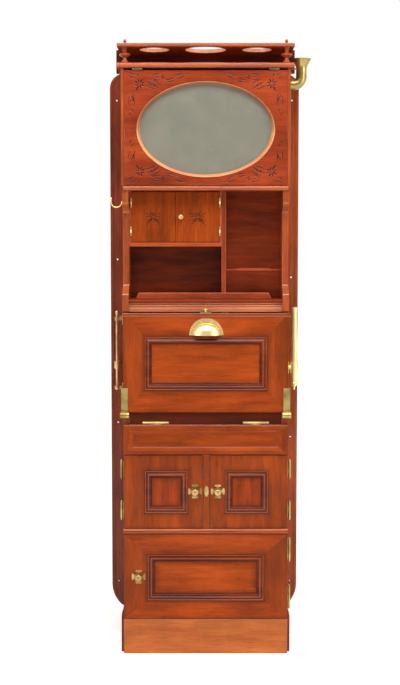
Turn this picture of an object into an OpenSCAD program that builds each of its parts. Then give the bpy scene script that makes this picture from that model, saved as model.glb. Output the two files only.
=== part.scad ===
// A ship's-cabin washstand cabinet: bottle gallery, mirror door with a water tank behind it,
// open compartment, tip-up basin in a fall front, frieze flap, cupboards and a bulkhead board.
// Millimetres. X runs across, Y from the front plane of the doors back to the wall, Z up from
// the floor. The origin is the middle of the plinth's front bottom edge.

/* [Carcass] */
// Width across the two side boards
cab_w = 500; // [480:1:540]
// Depth from the front plane to the face of the back board
cab_d = 160; // [156:1:190]
// Thickness of the side boards
side_t = 19; // [16:0.5:21]
// Depth from the front plane to the side boards' front edges
door_seat = 20; // [19:0.5:24]
// Thickness of the doors, fall and flap
door_t = 19.5; // [16:0.5:19.5]
// Gap between neighbouring fronts
reveal = 1.5; // [1:0.25:3]
// Thickness of the inner boards
inner_t = 11; // [9:0.5:13]

/* [Heights of the parts, from the floor up] */
// Height of the plinth
plinth_h = 107; // [90:1:130]
// Height of the bottom door
bottom_door_h = 261.5; // [250:0.5:300]
// Thickness of the board between the cupboards
mid_rail_t = 17; // [14:0.5:22]
// Height of the pair of doors
low_door_h = 222.5; // [216:0.5:260]
// Height of the frieze flap
flap_h = 91; // [80:0.5:100]
// Height of the apron board above the flap
apron_h = 35; // [34:0.5:40]
// Height of the fall front
fall_h = 300; // [296:1:330]
// Height of the moulded rail above the fall
front_rail_h = 27; // [26:0.5:34]
// Height of the open compartment
comp_h = 324; // [310:1:360]
// Thickness of the shelf below the mirror
mid_shelf_t = 15; // [12:0.5:20]
// Height of the mirror door
mirror_h = 338.5; // [325:0.5:380]
// Gap above the mirror door, taken by its hinges
mirror_head_gap = 6.4; // [6:0.2:9]

/* [Back board] */
// Width of the back board
back_w = 583; // [560:1:620]
// Place of the back board's middle, left of the cabinet's
back_off = 3.5; // [0:0.5:6]
// Thickness of the back board
back_t = 18; // [15:0.5:22]
// Height of the back board's bottom edge above the floor
back_z0 = 87; // [60:1:100]
// Height of the back board's top above the underside of the lower gallery shelf
back_up = 4.6; // [2:0.2:8]
// Radius of the top corners
back_r_top = 46; // [30:1:60]
// Radius of the bottom corners
back_r_bot = 90; // [60:1:110]
// Width of the bead along the edge
bead_w = 9; // [6:0.5:10]
// Height of the bead above the board
bead_h = 2; // [1:0.25:3]
// Distance of the wall screws from the middle, to each side
wall_hole_x = 271; // [269:0.5:274]
// Height of the corner screws' lower pair
wall_hole_z0 = 184; // [175:1:190]
// Distance of the corner screws' upper pair below the back board's top
wall_hole_down = 82; // [76:1:90]
// Heights of the two extra screws on the left
left_hole_z = [691, 1203];
// Heights of the two extra screws on the right
right_hole_z = [645, 1147];
// Diameter of the wall screw holes
wall_hole_d = 5.5; // [4.5:0.1:6.5]
// Diameter of the countersinks
wall_sink_d = 10; // [8:0.5:11]

/* [Gallery] */
// Width of the top shelf
top_shelf_w = 526; // [522:1:540]
// Thickness of the top shelf
top_shelf_t = 11.3; // [9:0.1:14]
// How far the top shelf stands in front of the doors
top_shelf_front = 10; // [6:1:16]
// Width of the lower shelf
low_shelf_w = 525; // [522:1:540]
// Thickness of the lower shelf
low_shelf_t = 15.6; // [12:0.2:18]
// How far the lower shelf stands in front of the doors
low_shelf_front = 12; // [8:1:16]
// Clear height between the shelves
gallery_gap = 45.7; // [40:0.1:60]
// Width of the gallery's back board
gallery_back_w = 550; // [530:1:560]
// How far the gallery's back board stands above the top shelf
gallery_back_up = 3; // [0:0.5:10]
// Diameter of the middle tumbler hole
hole_mid_d = 122; // [100:1:125]
// Diameter of the side tumbler holes
hole_side_d = 88.5; // [70:0.5:95]
// Distance of the side tumbler holes from the middle
hole_side_x = 154; // [150:1:160]
// Distance of the tumbler holes behind the shelf's front edge
hole_back = 72; // [68:1:80]
// Distance of the spindles from the middle
spindle_x = 240; // [230:1:250]
// Place of the spindles behind the front plane
spindle_y = 12; // [10:1:24]
// Diameter of the spindles' widest disc
spindle_d = 34; // [24:1:36]
// Height of the finials
finial_h = 13.6; // [8:0.2:20]
// Diameter of the finials
finial_d = 10; // [8:0.5:14]

/* [Open compartment] */
// How far the side boards' straight edge is set back
side_set = 42; // [30:1:44]
// Height of the side boards' lobes at the front plane, below the mid shelf
lobe_top_h = 34; // [20:1:50]
// Height of the curves between the lobes and the straight edge
lobe_curve_h = 32; // [20:1:50]
// Height of the lower lobes' flat front above the fall
lobe_low_h = 50; // [30:1:60]
// Place of the divider's middle
divider_x = 55; // [40:1:70]
// Thickness of the divider
divider_t = 13.5; // [10:0.5:16]
// Place of the divider's and inner shelf's front edges
inner_front = 45; // [44:1:48]
// Height of the shelf's top above the compartment floor
cup_shelf_h = 170; // [150:1:180]
// Place of the service panel's face
panel_y = 134; // [132:1:136]
// Thickness of the service panel
panel_t = 8; // [6:0.5:8]
// Width of the low fiddle rail
fiddle_w = 392; // [340:1:400]
// Height of the low fiddle rail
fiddle_h = 19; // [12:1:24]
// Thickness of the low fiddle rail
fiddle_t = 8; // [6:0.5:10]
// Place of the low fiddle rail behind the front plane
fiddle_y = 28; // [26:1:34]
// Place of the low fiddle rail's middle
fiddle_x = -6; // [-10:1:0]
// Height of the turned bottle rail above the floor board
bottle_rail_h = 87; // [70:1:110]
// Place of the turned bottle rail behind the front plane
bottle_rail_y = 58; // [54:1:70]
// Diameter of the turned bottle rail
bottle_rail_d = 12; // [10:0.5:14]
// Length of the bottle rail's thick part
bottle_rail_l = 100; // [80:1:120]
// How far the mid shelf's nose stands in front of the doors
nose_front = 8; // [4:1:12]
// Width of the mid shelf's nose
nose_w = 493; // [480:1:500]
// Place of the moulded rail's face behind the front plane
rail_set = 16; // [15.5:0.5:18]
// Thickness of the moulded rail
rail_t = 20; // [18:1:22]
// Place of the compartment floor's front edge
floor_front = 8; // [6:1:12]

/* [Small cupboard] */
// Place of the small doors' faces
small_y = 47; // [46.5:0.5:50]
// Thickness of the small doors
small_t = 13; // [10:0.5:14]
// Width of the strips that carry the small doors' hinges
strip_w = 5; // [4:0.5:7]
// Distance of the small doors' pins in front of their faces
small_pin_y = 3; // [3:0.1:4]
// Distance of the small doors' hinges from the doors' ends
small_hinge_inset = 32; // [22:1:40]
// Gap between the two small doors
small_gap = 1.2; // [1:0.1:2]
// Where the small doors meet
small_meet_x = -90.6; // [-94:0.1:-86]
// Diameter of the small knob
small_knob_d = 17; // [12:0.5:20]
// How far the small knob stands out
small_knob_h = 15; // [10:1:20]

/* [Mirror door] */
// Width of the mirror door
mirror_w = 487; // [480:1:490]
// Width of the oval opening
oval_w = 413; // [380:1:420]
// Height of the oval opening
oval_h = 284; // [260:1:290]
// Height of the oval's middle above the door's bottom edge
oval_up = 164.5; // [160:0.5:172]
// Width of the oval lip
lip_w = 9.5; // [6:0.5:12]
// Thickness of the mirror glass
glass_t = 5; // [3:0.5:6]
// Thickness of the mirror's backing board
backing_t = 5; // [3:0.5:6]
// Width of the beads beside the mirror door
cheek_w = 8; // [5:0.5:9]
// Gap between the mirror door and the beads beside it
cheek_gap = 0.7; // [0.5:0.1:1.2]

/* [Fall front] */
// Width of the fall, doors and flap
front_w = 498; // [478:1:538]
// Width of the fall moulding, outside
fall_mould_w = 370; // [340:1:400]
// Distance of the fall moulding below the fall's top
fall_mould_down = 72; // [68:1:80]
// Height of the moulding's bottom above the fall's bottom
fall_mould_up = 66; // [50:1:80]
// Width of the raised mouldings
mould_w = 23; // [16:1:26]
// How far the mouldings stand proud
mould_proud = 5; // [3:0.5:7]
// Depth of the panels behind the front plane
panel_sink = 5; // [3:0.5:8]
// Diameter of the bead along the top of the fall and the flap
top_bead = 6; // [4:0.5:8]
// Distance of the fall's pin in front of the front plane
fall_pin_y = 8; // [8:0.5:10]
// Distance of the fall's pin below the fall's bottom edge
fall_pin_drop = 8.4; // [8:0.2:10]
// Diameter of the fall hinge barrels
fall_barrel_d = 20; // [16:0.5:20]
// Diameter of the fall hinge pins
fall_pin_d = 8; // [6:0.5:10]
// Height of the corner brackets above the fall's bottom edge
bracket_h = 73; // [50:1:90]
// Width of the corner brackets
bracket_w = 20; // [16:1:24]
// Thickness of the corner brackets
bracket_t = 2.5; // [2:0.25:3]
// How far the corner brackets stand out past the fall's ends
bracket_out = 6; // [4:0.5:7]
// Width of the cup pull
pull_w = 103; // [90:1:110]
// Height of the cup pull's plate
pull_h = 50; // [45:1:51]
// Width of the cup itself
cup_w = 78; // [60:1:84]
// How far the cup stands out
cup_out = 26; // [20:1:30]
// Wall of the cup
cup_wall = 1.6; // [1.2:0.1:2.5]
// Place of the cup pull's middle
pull_x = 2; // [-5:1:5]

/* [Fall bolt] */
// Width of the bolt plate
bolt_plate_w = 33; // [28:1:40]
// Thickness of the bolt plate's front edge
bolt_plate_t = 5; // [4:0.5:6]
// Diameter of the bolt's mushroom knob
bolt_knob_d = 19; // [14:0.5:20]
// Height of the knob's top above the bolt plate
bolt_knob_h = 19; // [15:0.5:22]
// Diameter of the bolt's stem
bolt_stem_d = 5; // [4:0.5:6]
// Travel of the bolt
bolt_travel = 4; // [3:0.5:5]

/* [Basin] */
// Width of the basin at its rim
basin_w = 340; // [300:5:360]
// Height of the basin at its rim, with the fall shut
basin_h = 226; // [200:2:230]
// Depth of the basin, rim to foot
basin_d = 108; // [90:1:112]
// Wall of the basin
basin_wall = 6; // [5:0.5:8]
// Height of the basin's middle above the fall's bottom
basin_up = 143; // [138:1:146]

/* [Frieze flap and doors] */
// Distance of the flap's pin behind the front plane
flap_pin_y = 5; // [4:0.5:6]
// Distance of the flap's pin above the flap's top edge
flap_pin_up = 5; // [4.8:0.1:6]
// Diameter of the flap hinge barrels
flap_barrel_d = 8.6; // [7:0.2:9]
// Length of the flap hinges
flap_hinge_l = 78; // [60:1:84]
// Distance of the left and right flap hinges from the middle
flap_hinge_x = [-151, 152];
// Width of the flap's border at its ends
flap_border = 17; // [12:0.5:28]
// Height of the flap's border along its top
flap_border_top = 20; // [14:0.5:26]
// Height of the flap's border along its bottom
flap_border_low = 11; // [8:0.5:18]
// Width of the sloping edge round the flap's panel
flap_slope = 12; // [4:0.5:14]
// Place of the upright between the pair of doors
muntin_x = 2.5; // [-5:0.5:5]
// Width of that upright
muntin_w = 18; // [14:1:24]
// Outside size of the square mouldings
square_mould = 131; // [110:1:136]
// Distance of the square mouldings' middles from the upright's
square_off = 122; // [118:1:124]
// Width of the bottom door's moulding, outside
bot_mould_w = 355; // [330:1:360]
// Height of the bottom door's moulding, outside
bot_mould_h = 143; // [120:1:160]
// Height of the bottom door's moulding above the door's bottom edge
bot_mould_up = 56.5; // [40:0.5:70]

/* [Turn knobs] */
// Distance of the pair's knobs from the upright's middle
knob_off = 34.5; // [32:0.5:38]
// Distance of the bottom door's knob from the middle
bot_knob_x = 204; // [200:1:206]
// Diameter of the turn knobs
knob_d = 22.5; // [18:0.5:26]
// How far the turn knobs stand out
knob_h = 25; // [20:1:28]
// Diameter of the spindles
knob_spindle_d = 6; // [5:0.5:8]
// Width across the cross-shaped back plates
cross_w = 43; // [38:1:44]
// Width of the back plates' arms at their leafy ends
cross_tip_w = 19; // [14:0.5:22]
// Thickness of the back plates
cross_t = 2; // [1.5:0.25:3]
// Diameter of the screws in the back plates
cross_screw_d = 5; // [3.5:0.25:6]
// Length of the turning tongues from the spindle
tongue_l = 32; // [30:0.5:33]
// Width of the tongues
tongue_w = 10; // [8:0.5:12]
// Thickness of the tongues
tongue_t = 3; // [2:0.25:3.5]

/* [Hinges of the doors] */
// Distance of the door pins outside the side boards
hinge_out = 5.5; // [4.4:0.1:6]
// Diameter of the door hinge barrels
hinge_d = 8; // [6:0.5:8.5]
// Width of the hinge leaves
leaf_w = 15; // [10:0.5:17]
// Thickness of the hinge leaves
leaf_t = 1.5; // [1:0.1:2]
// Length of the pair of doors' hinges
hinge_l = 49; // [40:1:64]
// Length of the bottom door's hinges
bot_hinge_l = 64; // [50:1:76]
// Diameter of the hinge pins
pin_d = 3; // [2.5:0.1:3.6]
// Diameter of the ball tips
tip_d = 7; // [5:0.5:8]
// Distance of the pair of doors' hinges from the doors' ends
hinge_inset = 48; // [40:1:56]
// Distance of the bottom door's hinges from the door's ends
bot_hinge_inset = 56; // [46:1:66]

/* [Water works] */
// Gap between the water tank and the side boards
tank_side_gap = 9; // [6:0.5:20]
// Height of the water tank
tank_h = 331; // [300:1:334]
// Place of the tank's front
tank_y = 31; // [30.5:0.5:36]
// Sheet of the tank, hopper and can
sheet_t = 2; // [1.5:0.25:3]
// Diameter of the filler pipe
horn_d = 32; // [28:1:36]
// Wall of the filler pipe
horn_wall = 1.5; // [1:0.1:2.5]
// Distance of the filler pipe's middle below the lower gallery shelf
horn_below = 40.4; // [38:0.2:60]
// Place of the filler pipe behind the front plane
horn_y = 75; // [65:1:95]
// Bend radius of the filler pipe
horn_bend = 24; // [20:1:30]
// How far the upright pipe's middle stands out from the lower gallery shelf's end
horn_out = 26.5; // [24:0.5:31]
// Diameter of the horn's mouth
mouth_d = 60; // [50:1:66]
// Height of the bell
bell_h = 32; // [26:1:40]
// Height of the horn's mouth above the stub's axis
mouth_up = 77; // [70:1:90]
// Diameter of the supply pipe
pipe_d = 12; // [10:0.5:12]
// Wall of the supply pipe
pipe_wall = 1.5; // [1:0.1:2]
// Place of the supply pipe from the middle
pipe_x = 60; // [50:1:90]
// Diameter of the tap body
tap_d = 22; // [18:0.5:24]
// Place of the tap behind the front plane
tap_y = 112; // [108:1:114]
// Travel of the tap's push button
button_travel = 5; // [3:0.5:6]
// Diameter of the tap's push button
button_d = 14; // [10:0.5:16]
// Depth of the waste hopper
hopper_h = 82; // [60:1:84]
// Diameter of the waste outlet
outlet_d = 43; // [30:1:50]
// Diameter of the slop can
can_d = 120; // [100:1:122]
// Height of the slop can
can_h = 180; // [150:1:190]

/* [Fittings on the sides] */
// Distance of the towel post from the side board
post_out = 19; // [15:1:24]
// Place of the side fittings behind the front plane
fit_y = 40; // [34:1:50]
// Height of the towel post's foot above the floor
post_z0 = 808; // [790:1:830]
// Length of the towel post
post_l = 236; // [200:1:260]
// Diameter of the towel post
post_d = 7.3; // [6:0.1:9]
// Height of the plates that hold the towel post
post_plate_h = 32; // [26:1:38]
// Height of the towel arm above the post's foot
arm_up = 66; // [50:1:90]
// Height of the towel arm's knuckle
arm_knuckle_h = 21; // [16:1:26]
// Diameter of the towel arm's knuckle
arm_knuckle_d = 17; // [14:0.5:20]
// Reach of the towel arm
arm_l = 108; // [80:1:112]
// Diameter of the towel arm
arm_d = 8; // [6:0.5:9]
// Height of the coat hook above the floor
hook_z = 1377; // [1360:1:1390]
// Bend radius of the coat hook
hook_r = 16; // [12:1:20]
// Diameter of the coat hook's wire
hook_d = 3.4; // [3:0.2:5]
// Distance of the candle tube from the side board
candle_out = 19; // [18.5:0.5:24]
// Height of the candle tube's foot above the floor
candle_z0 = 808; // [790:1:830]
// Length of the candle tube
candle_l = 251; // [220:1:260]
// Diameter of the candle tube at its mouth
candle_d1 = 17; // [15:0.5:18]
// Diameter of the candle tube near its foot
candle_d0 = 22; // [19:0.5:22.5]
// Bore of the candle tube
candle_bore = 13; // [10:0.5:13.5]
// Height of the candle tube's pivot above its foot
candle_pivot = 69; // [60:1:90]
// Diameter of the candle tube's collar
collar_d = 25; // [23.5:0.5:27]
// Thickness of the side skirtings
skirt_t = 8; // [6:0.5:10]
// Height of the side skirtings
skirt_h = 145; // [120:1:150]
// Height of the skirtings' curved top
skirt_top = 35; // [20:1:40]
// How far the skirtings' front ends are set back
skirt_set = 20.6; // [20.4:0.2:26]

/* [Clearances] */
// Gap between a pin and the bore that turns on it, on the radius
pin_fit = 0.05; // [0.03:0.01:0.1]
// Gap between flat parts that move past each other
slip = 0.3; // [0.2:0.05:0.4]
// Glue line or play between a frame, its panel and its moulding
seam = 0.1; // [0.05:0.05:0.2]

/* [Hidden] */
$fn = 48;
e = 0.01;
hw = cab_w / 2;
inside = hw - side_t;
fw = front_w / 2;

z_bot0 = plinth_h + reveal;
z_bot1 = z_bot0 + bottom_door_h;
z_mid0 = z_bot1 + 1;
z_mid1 = z_mid0 + mid_rail_t;
z_low0 = z_mid1 + reveal;
z_low1 = z_low0 + low_door_h;
z_flap0 = z_low1 + 2 * reveal;
z_flap1 = z_flap0 + flap_h;
z_apron0 = z_flap1 + 1;
z_apron1 = z_apron0 + apron_h;
z_fall0 = z_apron1 + 2;
z_fall1 = z_fall0 + fall_h;
z_rail0 = z_fall1 + 2 * reveal;
z_rail1 = z_rail0 + front_rail_h;
z_floor1 = z_rail1 + inner_t;
z_shelf0 = z_floor1 + comp_h;
z_shelf1 = z_shelf0 + mid_shelf_t;
z_mir0 = z_shelf1 + reveal;
z_mir1 = z_mir0 + mirror_h;
z_gal0 = z_mir1 + mirror_head_gap;
z_gal1 = z_gal0 + low_shelf_t;
z_top0 = z_gal1 + gallery_gap;
z_top1 = z_top0 + top_shelf_t;
back_z1 = z_gal0 + back_up;
fall_mould_h = fall_h - fall_mould_down - fall_mould_up;
tank_w = 2 * (inside - tank_side_gap);
horn_z = z_gal0 - horn_below;
horn_x = low_shelf_w / 2 + horn_out;

div_l = divider_x - divider_t / 2;
div_r = divider_x + divider_t / 2;
cup_z1 = z_floor1 + cup_shelf_h;
cup_z0 = cup_z1 - inner_t - 1;
pipe_y = panel_y + panel_t + pipe_d / 2 + 2;
oval_z = z_mir0 + oval_up;
mir_pin_z = z_mir1 + mirror_head_gap / 2;
mir_pin_y = -3;
mir_barrel_d = 5.8;
mir_hinge_l = 30;
mir_hinge_x = 203;
fall_pin_z = z_fall0 - fall_pin_drop;
flap_pin_z = z_flap1 + flap_pin_up;
door_pin_x = hw + hinge_out;
small_d = 5;
small_l = 28;
small_z0 = cup_z1 + reveal + 0.5;
small_z1 = z_shelf0 - reveal - 0.5;
small_zc = (small_z0 + small_z1) / 2;
small_face = small_y - small_pin_y;
small_pin_l = -inside + strip_w + slip;
small_pin_r = div_l - strip_w - slip;
bolt_y = 5;
bolt_tongue_y = [door_t + 1.5, door_t + 6.5];
bolt_z1 = z_fall1 + 2;
knob_z = z_low0 + low_door_h / 2 + 1.5;
bot_knob_z = z_bot0 + bottom_door_h / 2;
head_rail_z = [z_low1 - flap_border_low - 2, z_flap0 + flap_border_low + 1];
tap_z = [z_rail0 - 11, z_rail1 - 6];
tap_axis_z = z_rail0 + 9;
post_x = -hw - post_out;
candle_x = hw + candle_out;
mahogany = "#9c3f1f";
dark = "#6a2a20";
brassy = "#c9a860";
zinc = "#9aa0a2";

// A box given by its two corners on each axis
module block(x, y, z) {
    translate([x[0], y[0], z[0]]) cube([x[1] - x[0], y[1] - y[0], z[1] - z[0]]);
}

// An outline of (Y, Z) points pushed along X
module along_x(x) {
    translate([x[0], 0, 0]) rotate([90, 0, 90]) linear_extrude(x[1] - x[0]) children();
}

// A round bar along X, Y or Z between two places
module bar_x(x, y, z, d) {
    translate([x[0], y, z]) rotate([0, 90, 0]) cylinder(d = d, h = x[1] - x[0]);
}
module bar_y(x, y, z, d) {
    translate([x, y[0], z]) rotate([-90, 0, 0]) cylinder(d = d, h = y[1] - y[0]);
}
module bar_z(x, y, z, d) {
    translate([x, y, z[0]]) cylinder(d = d, h = z[1] - z[0]);
}

// A square-sided ring in the XZ plane, outside size and border given
module ring_xz(cx, cz, w, h, border, y) {
    difference() {
        block([cx - w / 2, cx + w / 2], y, [cz - h / 2, cz + h / 2]);
        block([cx - w / 2 + border, cx + w / 2 - border], [y[0] - 1, y[1] + 1],
            [cz - h / 2 + border, cz + h / 2 - border]);
    }
}

// Points of a board's section in (Y, Z) with a half-round front edge
function nose(y0, y1, z0, z1) = let (r = (z1 - z0) / 2) concat([[y1, z0]],
    [for (a = [-90:15:90]) [y0 + r - r * cos(a), z0 + r + r * sin(a)]], [[y1, z1]]);

// An S curve from one depth to another over a height
function s_curve(y0, y1, z0, z1, n = 10) =
    [for (i = [0:n]) [y0 + (y1 - y0) * (1 - cos(180 * i / n)) / 2, z0 + (z1 - z0) * i / n]];

// An oval outline
module oval(w, h) {
    polygon([for (a = [0:5:355]) [w / 2 * cos(a), h / 2 * sin(a)]]);
}

// An outline of (X, Z) points pushed along Y
module along_y(y) {
    translate([0, y[1], 0]) rotate([90, 0, 0]) linear_extrude(y[1] - y[0]) children();
}

module back_outline(inset) translate([-back_off, 0]) {
    w = back_w / 2 - inset;
    rt = back_r_top - inset;
    rb = back_r_bot - inset;
    z0 = back_z0 + inset;
    z1 = back_z1 - inset;
    polygon(concat([for (a = [0:10:90]) [w - rt + rt * cos(a), z1 - rt + rt * sin(a)]],
        [for (a = [90:10:180]) [-w + rt + rt * cos(a), z1 - rt + rt * sin(a)]],
        [for (a = [180:9:270]) [-w + rb + rb * cos(a), z0 + rb + rb * sin(a)]],
        [for (a = [270:9:360]) [w - rb + rb * cos(a), z0 + rb + rb * sin(a)]]));
}

module wall_hole(x, z) {
    bar_y(x, [cab_d - 1, cab_d + back_t + 1], z, wall_hole_d);
    sink = (wall_sink_d - wall_hole_d) / 2;
    translate([x, cab_d - e, z]) rotate([-90, 0, 0])
        cylinder(d1 = wall_sink_d, d2 = wall_hole_d, h = sink);
}

module back_board() color(dark) difference() {
    union() {
        along_y([cab_d, cab_d + back_t]) back_outline(0);
        along_y([cab_d - bead_h, cab_d + 1]) difference() {
            back_outline(0);
            back_outline(bead_w);
            translate([-low_shelf_w / 2 - slip, 0]) square([low_shelf_w + 2 * slip, z_top1]);
        }
    }
    for (s = [-1, 1]) {
        x = s * wall_hole_x - back_off;
        for (z = [wall_hole_z0, back_z1 - wall_hole_down]) wall_hole(x, z);
        for (z = s < 0 ? left_hole_z : right_hole_z) wall_hole(x, z);
    }
}

module gallery_back() color(dark)
    block([-gallery_back_w / 2, gallery_back_w / 2], [cab_d, cab_d + back_t],
        [back_z1, z_top1 + gallery_back_up]);

module gallery_top_shelf() color(mahogany) difference() {
    along_x([-top_shelf_w / 2, top_shelf_w / 2])
        polygon(nose(-top_shelf_front, cab_d, z_top0, z_top1));
    y = hole_back - top_shelf_front;
    bar_z(0, y, [z_top0 - 1, z_top1 + 1], hole_mid_d);
    for (s = [-1, 1]) bar_z(s * hole_side_x, y, [z_top0 - 1, z_top1 + 1], hole_side_d);
}

module gallery_lower_shelf() color(mahogany) difference() {
    along_x([-low_shelf_w / 2, low_shelf_w / 2])
        polygon(nose(-low_shelf_front, cab_d, z_gal0, z_gal1));
    for (s = [-1, 1]) mirror_leaf_seat(s * mir_hinge_x, [z_gal0 - 1, z_gal0 + leaf_t]);
}

module mirror_leaf_seat(x, z) {
    block([x - mir_hinge_l / 2, x + mir_hinge_l / 2], [mir_pin_y - 1, leaf_w], z);
}

// A turned upright: base dome, taper, disc and neck, each height in proportion to the gap
module gallery_spindles() color(mahogany) for (s = [-1, 1]) translate([s * spindle_x, spindle_y]) {
    h = gallery_gap;
    r = spindle_d / 2;
    translate([0, 0, z_gal1]) rotate_extrude() polygon([[0, 0], [r * 0.62, 0],
        [r * 0.6, h * 0.1], [r * 0.42, h * 0.2], [r * 0.3, h * 0.3], [r * 0.36, h * 0.38],
        [r * 0.8, h * 0.46], [r, h * 0.53], [r * 0.8, h * 0.6], [r * 0.34, h * 0.68],
        [r * 0.3, h * 0.78], [r * 0.42, h * 0.86], [r * 0.4, h], [0, h]]);
    translate([0, 0, z_top1]) rotate_extrude() polygon([[0, 0], [finial_d * 0.35, 0],
        [finial_d * 0.25, finial_h * 0.2], [finial_d / 2, finial_h * 0.5],
        [finial_d * 0.45, finial_h * 0.75], [finial_d * 0.2, finial_h * 0.95], [0, finial_h]]);
}

// Side board outline: straight up the back, shaped at the front of the open compartment
function side_points() = let (
        lo = z_rail0 + lobe_low_h, hi = z_shelf0 - lobe_top_h)
    concat([[cab_d, 0], [cab_d, z_gal0], [door_seat, z_gal0], [door_seat, z_shelf0],
        [0, z_shelf0]],
        s_curve(0, side_set, hi, hi - lobe_curve_h),
        s_curve(side_set, 0, lo + lobe_curve_h, lo),
        [[0, z_rail0 + 4], [4, z_rail0], [door_seat, z_rail0], [door_seat, 0]]);

module side_board() {
    along_x([inside, hw]) polygon(side_points());
    x = mirror_w / 2 + cheek_gap;
    block([x, x + cheek_w], [0, door_seat + 1], [z_shelf1, z_gal0]);
    block([min(x, inside), max(x + cheek_w, hw)], [door_seat, door_seat + 1], [z_shelf1, z_gal0]);
}

// Seat for a door hinge's fixed leaf in the side board's front edge
module leaf_seat(z, l) {
    block([hw - leaf_w, hw + 1], [door_seat - 1, door_seat + leaf_t], [z - l / 2, z + l / 2]);
}

module side_left() color(mahogany) difference() {
    mirror([1, 0, 0]) side_board();
    mirror([1, 0, 0]) for (z = low_hinge_z) leaf_seat(z, hinge_l);
    block([-inside - 9, -inside + 1], [door_t + 1, door_seat + tongue_t + 3],
        [bot_knob_z - tongue_l * 0.8, bot_knob_z + tongue_w / 2 + 2]);
}

module side_right() color(mahogany) difference() {
    side_board();
    for (z = low_hinge_z) leaf_seat(z, hinge_l);
    for (z = bot_hinge_z) leaf_seat(z, bot_hinge_l);
    bar_x([inside - 1, hw + 1], horn_y, horn_z, horn_d + 2 * slip);
}

low_hinge_z = [z_low0 + hinge_inset + 3, z_low1 - hinge_inset + 3];
bot_hinge_z = [z_bot0 + bot_hinge_inset + 8, z_bot1 - bot_hinge_inset + 5];

module mid_shelf() color(mahogany) difference() {
    union() {
        block([-inside, inside], [door_seat - 1, cab_d], [z_shelf0, z_shelf1]);
        along_x([-nose_w / 2, nose_w / 2])
            polygon(nose(-nose_front, door_seat, z_shelf0, z_shelf1));
    }
    bar_z(pipe_x, pipe_y, [z_shelf0 - 1, z_shelf1 + 1], pipe_d + 2 * slip);
}

module divider() color(mahogany)
    block([div_l, div_r], [inner_front, panel_y], [z_floor1, z_shelf0]);

// The shelf and, above it, the two upright strips that the small doors hang on
module cupboard_shelf() color(mahogany) {
    block([-inside, div_l], [inner_front, panel_y], [cup_z0, cup_z1]);
    difference() {
        union() {
            block([-inside, -inside + strip_w], [small_y, small_y + 14], strip_z);
            block([div_l - strip_w, div_l], [small_y, small_y + 14], strip_z);
        }
        for (z = small_hinge_z) block([small_pin_l - slip - 1, small_pin_r + slip + 1],
            [small_y - 1, small_y + 9], [z - small_l / 2, z + small_l / 2]);
    }
}

strip_z = [cup_z1 + seam, z_shelf0];

module service_panel() color(mahogany)
    block([-inside, inside], [panel_y, panel_y + panel_t], [z_floor1, z_shelf0]);

module compartment_floor() color(mahogany) difference() {
    along_x([-inside, inside]) polygon(nose(floor_front, cab_d, z_rail1, z_floor1));
    bar_z(pipe_x, pipe_y, [z_rail1 - 1, z_floor1 + 1], pipe_d + 2 * slip);
}

module fiddle_rails() color(mahogany) {
    along_y([fiddle_y, fiddle_y + fiddle_t]) polygon([
        [fiddle_x - fiddle_w / 2 - fiddle_h / 2, z_floor1],
        [fiddle_x + fiddle_w / 2 + fiddle_h / 2, z_floor1],
        [fiddle_x + fiddle_w / 2, z_floor1 + fiddle_h],
        [fiddle_x - fiddle_w / 2, z_floor1 + fiddle_h]]);
    z = z_floor1 + bottle_rail_h;
    mid = (div_r + inside) / 2;
    thin = bottle_rail_d / 2;
    bar_x([div_r, inside], bottle_rail_y, z, thin);
    bar_x([mid - bottle_rail_l / 2, mid + bottle_rail_l / 2], bottle_rail_y, z, bottle_rail_d);
    for (s = [-1, 1]) bar_x([mid + s * (bottle_rail_l / 2 + 8) - 3,
        mid + s * (bottle_rail_l / 2 + 8) + 3], bottle_rail_y, z, bottle_rail_d * 0.8);
}

// The moulded rail: beads and steps, with a mortise for the fall's bolt
module front_rail() color(mahogany) difference() {
    y = rail_set;
    h = front_rail_h;
    along_x([-inside, inside]) polygon(concat([[y + rail_t, z_rail0], [y, z_rail0]],
        [[y, z_rail0 + h * 0.16]],
        [for (a = [-90:30:90]) [y + 2 - 2 * cos(a), z_rail0 + h * 0.28 + h * 0.12 * sin(a)]],
        [[y + 3, z_rail0 + h * 0.42], [y + 3, z_rail0 + h * 0.56]],
        [for (a = [-90:30:90]) [y + 3 - 2 * cos(a), z_rail0 + h * 0.68 + h * 0.12 * sin(a)]],
        [[y + 5, z_rail0 + h * 0.82], [y + 5, z_rail1], [y + rail_t, z_rail1]]));
    block([-bolt_hole_x, bolt_hole_x], bolt_hole_y, [z_rail0 - 1, z_rail0 + bolt_travel + 4]);
    block([-strike_w / 2, strike_w / 2], strike_y, [z_rail0 - 1, z_rail0 + leaf_t]);
}

strike_w = 36;
bolt_tongue_w = 12;
bolt_hole_x = bolt_tongue_w / 2 + 1;
bolt_hole_y = [bolt_tongue_y[0] - 1, bolt_tongue_y[1] + 1];
strike_y = [rail_set + 1, bolt_tongue_y[1] + 5];

module apron_board() color(mahogany) difference() {
    block([-inside, inside], [apron_y, apron_y + side_t], [z_apron0, z_apron1]);
    for (x = flap_hinge_x) block([x - flap_hinge_l / 2 - slip, x + flap_hinge_l / 2 + slip],
        [apron_y - 1, apron_y + leaf_w - 1], [z_apron0 - 1, flap_pin_z + leaf_t / 2]);
}

apron_y = 10;

module door_head_rail() color(mahogany)
    block([-inside, inside], [door_seat, door_seat + side_t], head_rail_z);

module muntin() color(mahogany)
    block([muntin_x - muntin_w / 2, muntin_x + muntin_w / 2], [0, door_seat],
        [z_mid1, z_low1 + reveal]);

module mid_rail() color(mahogany) {
    block([-inside, inside], [door_seat - 1, cab_d], [z_mid0, z_mid1]);
    along_x([-hw, hw]) polygon(nose(-mid_nose, door_seat, z_mid0, z_mid1));
}

mid_nose = 4;

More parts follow.
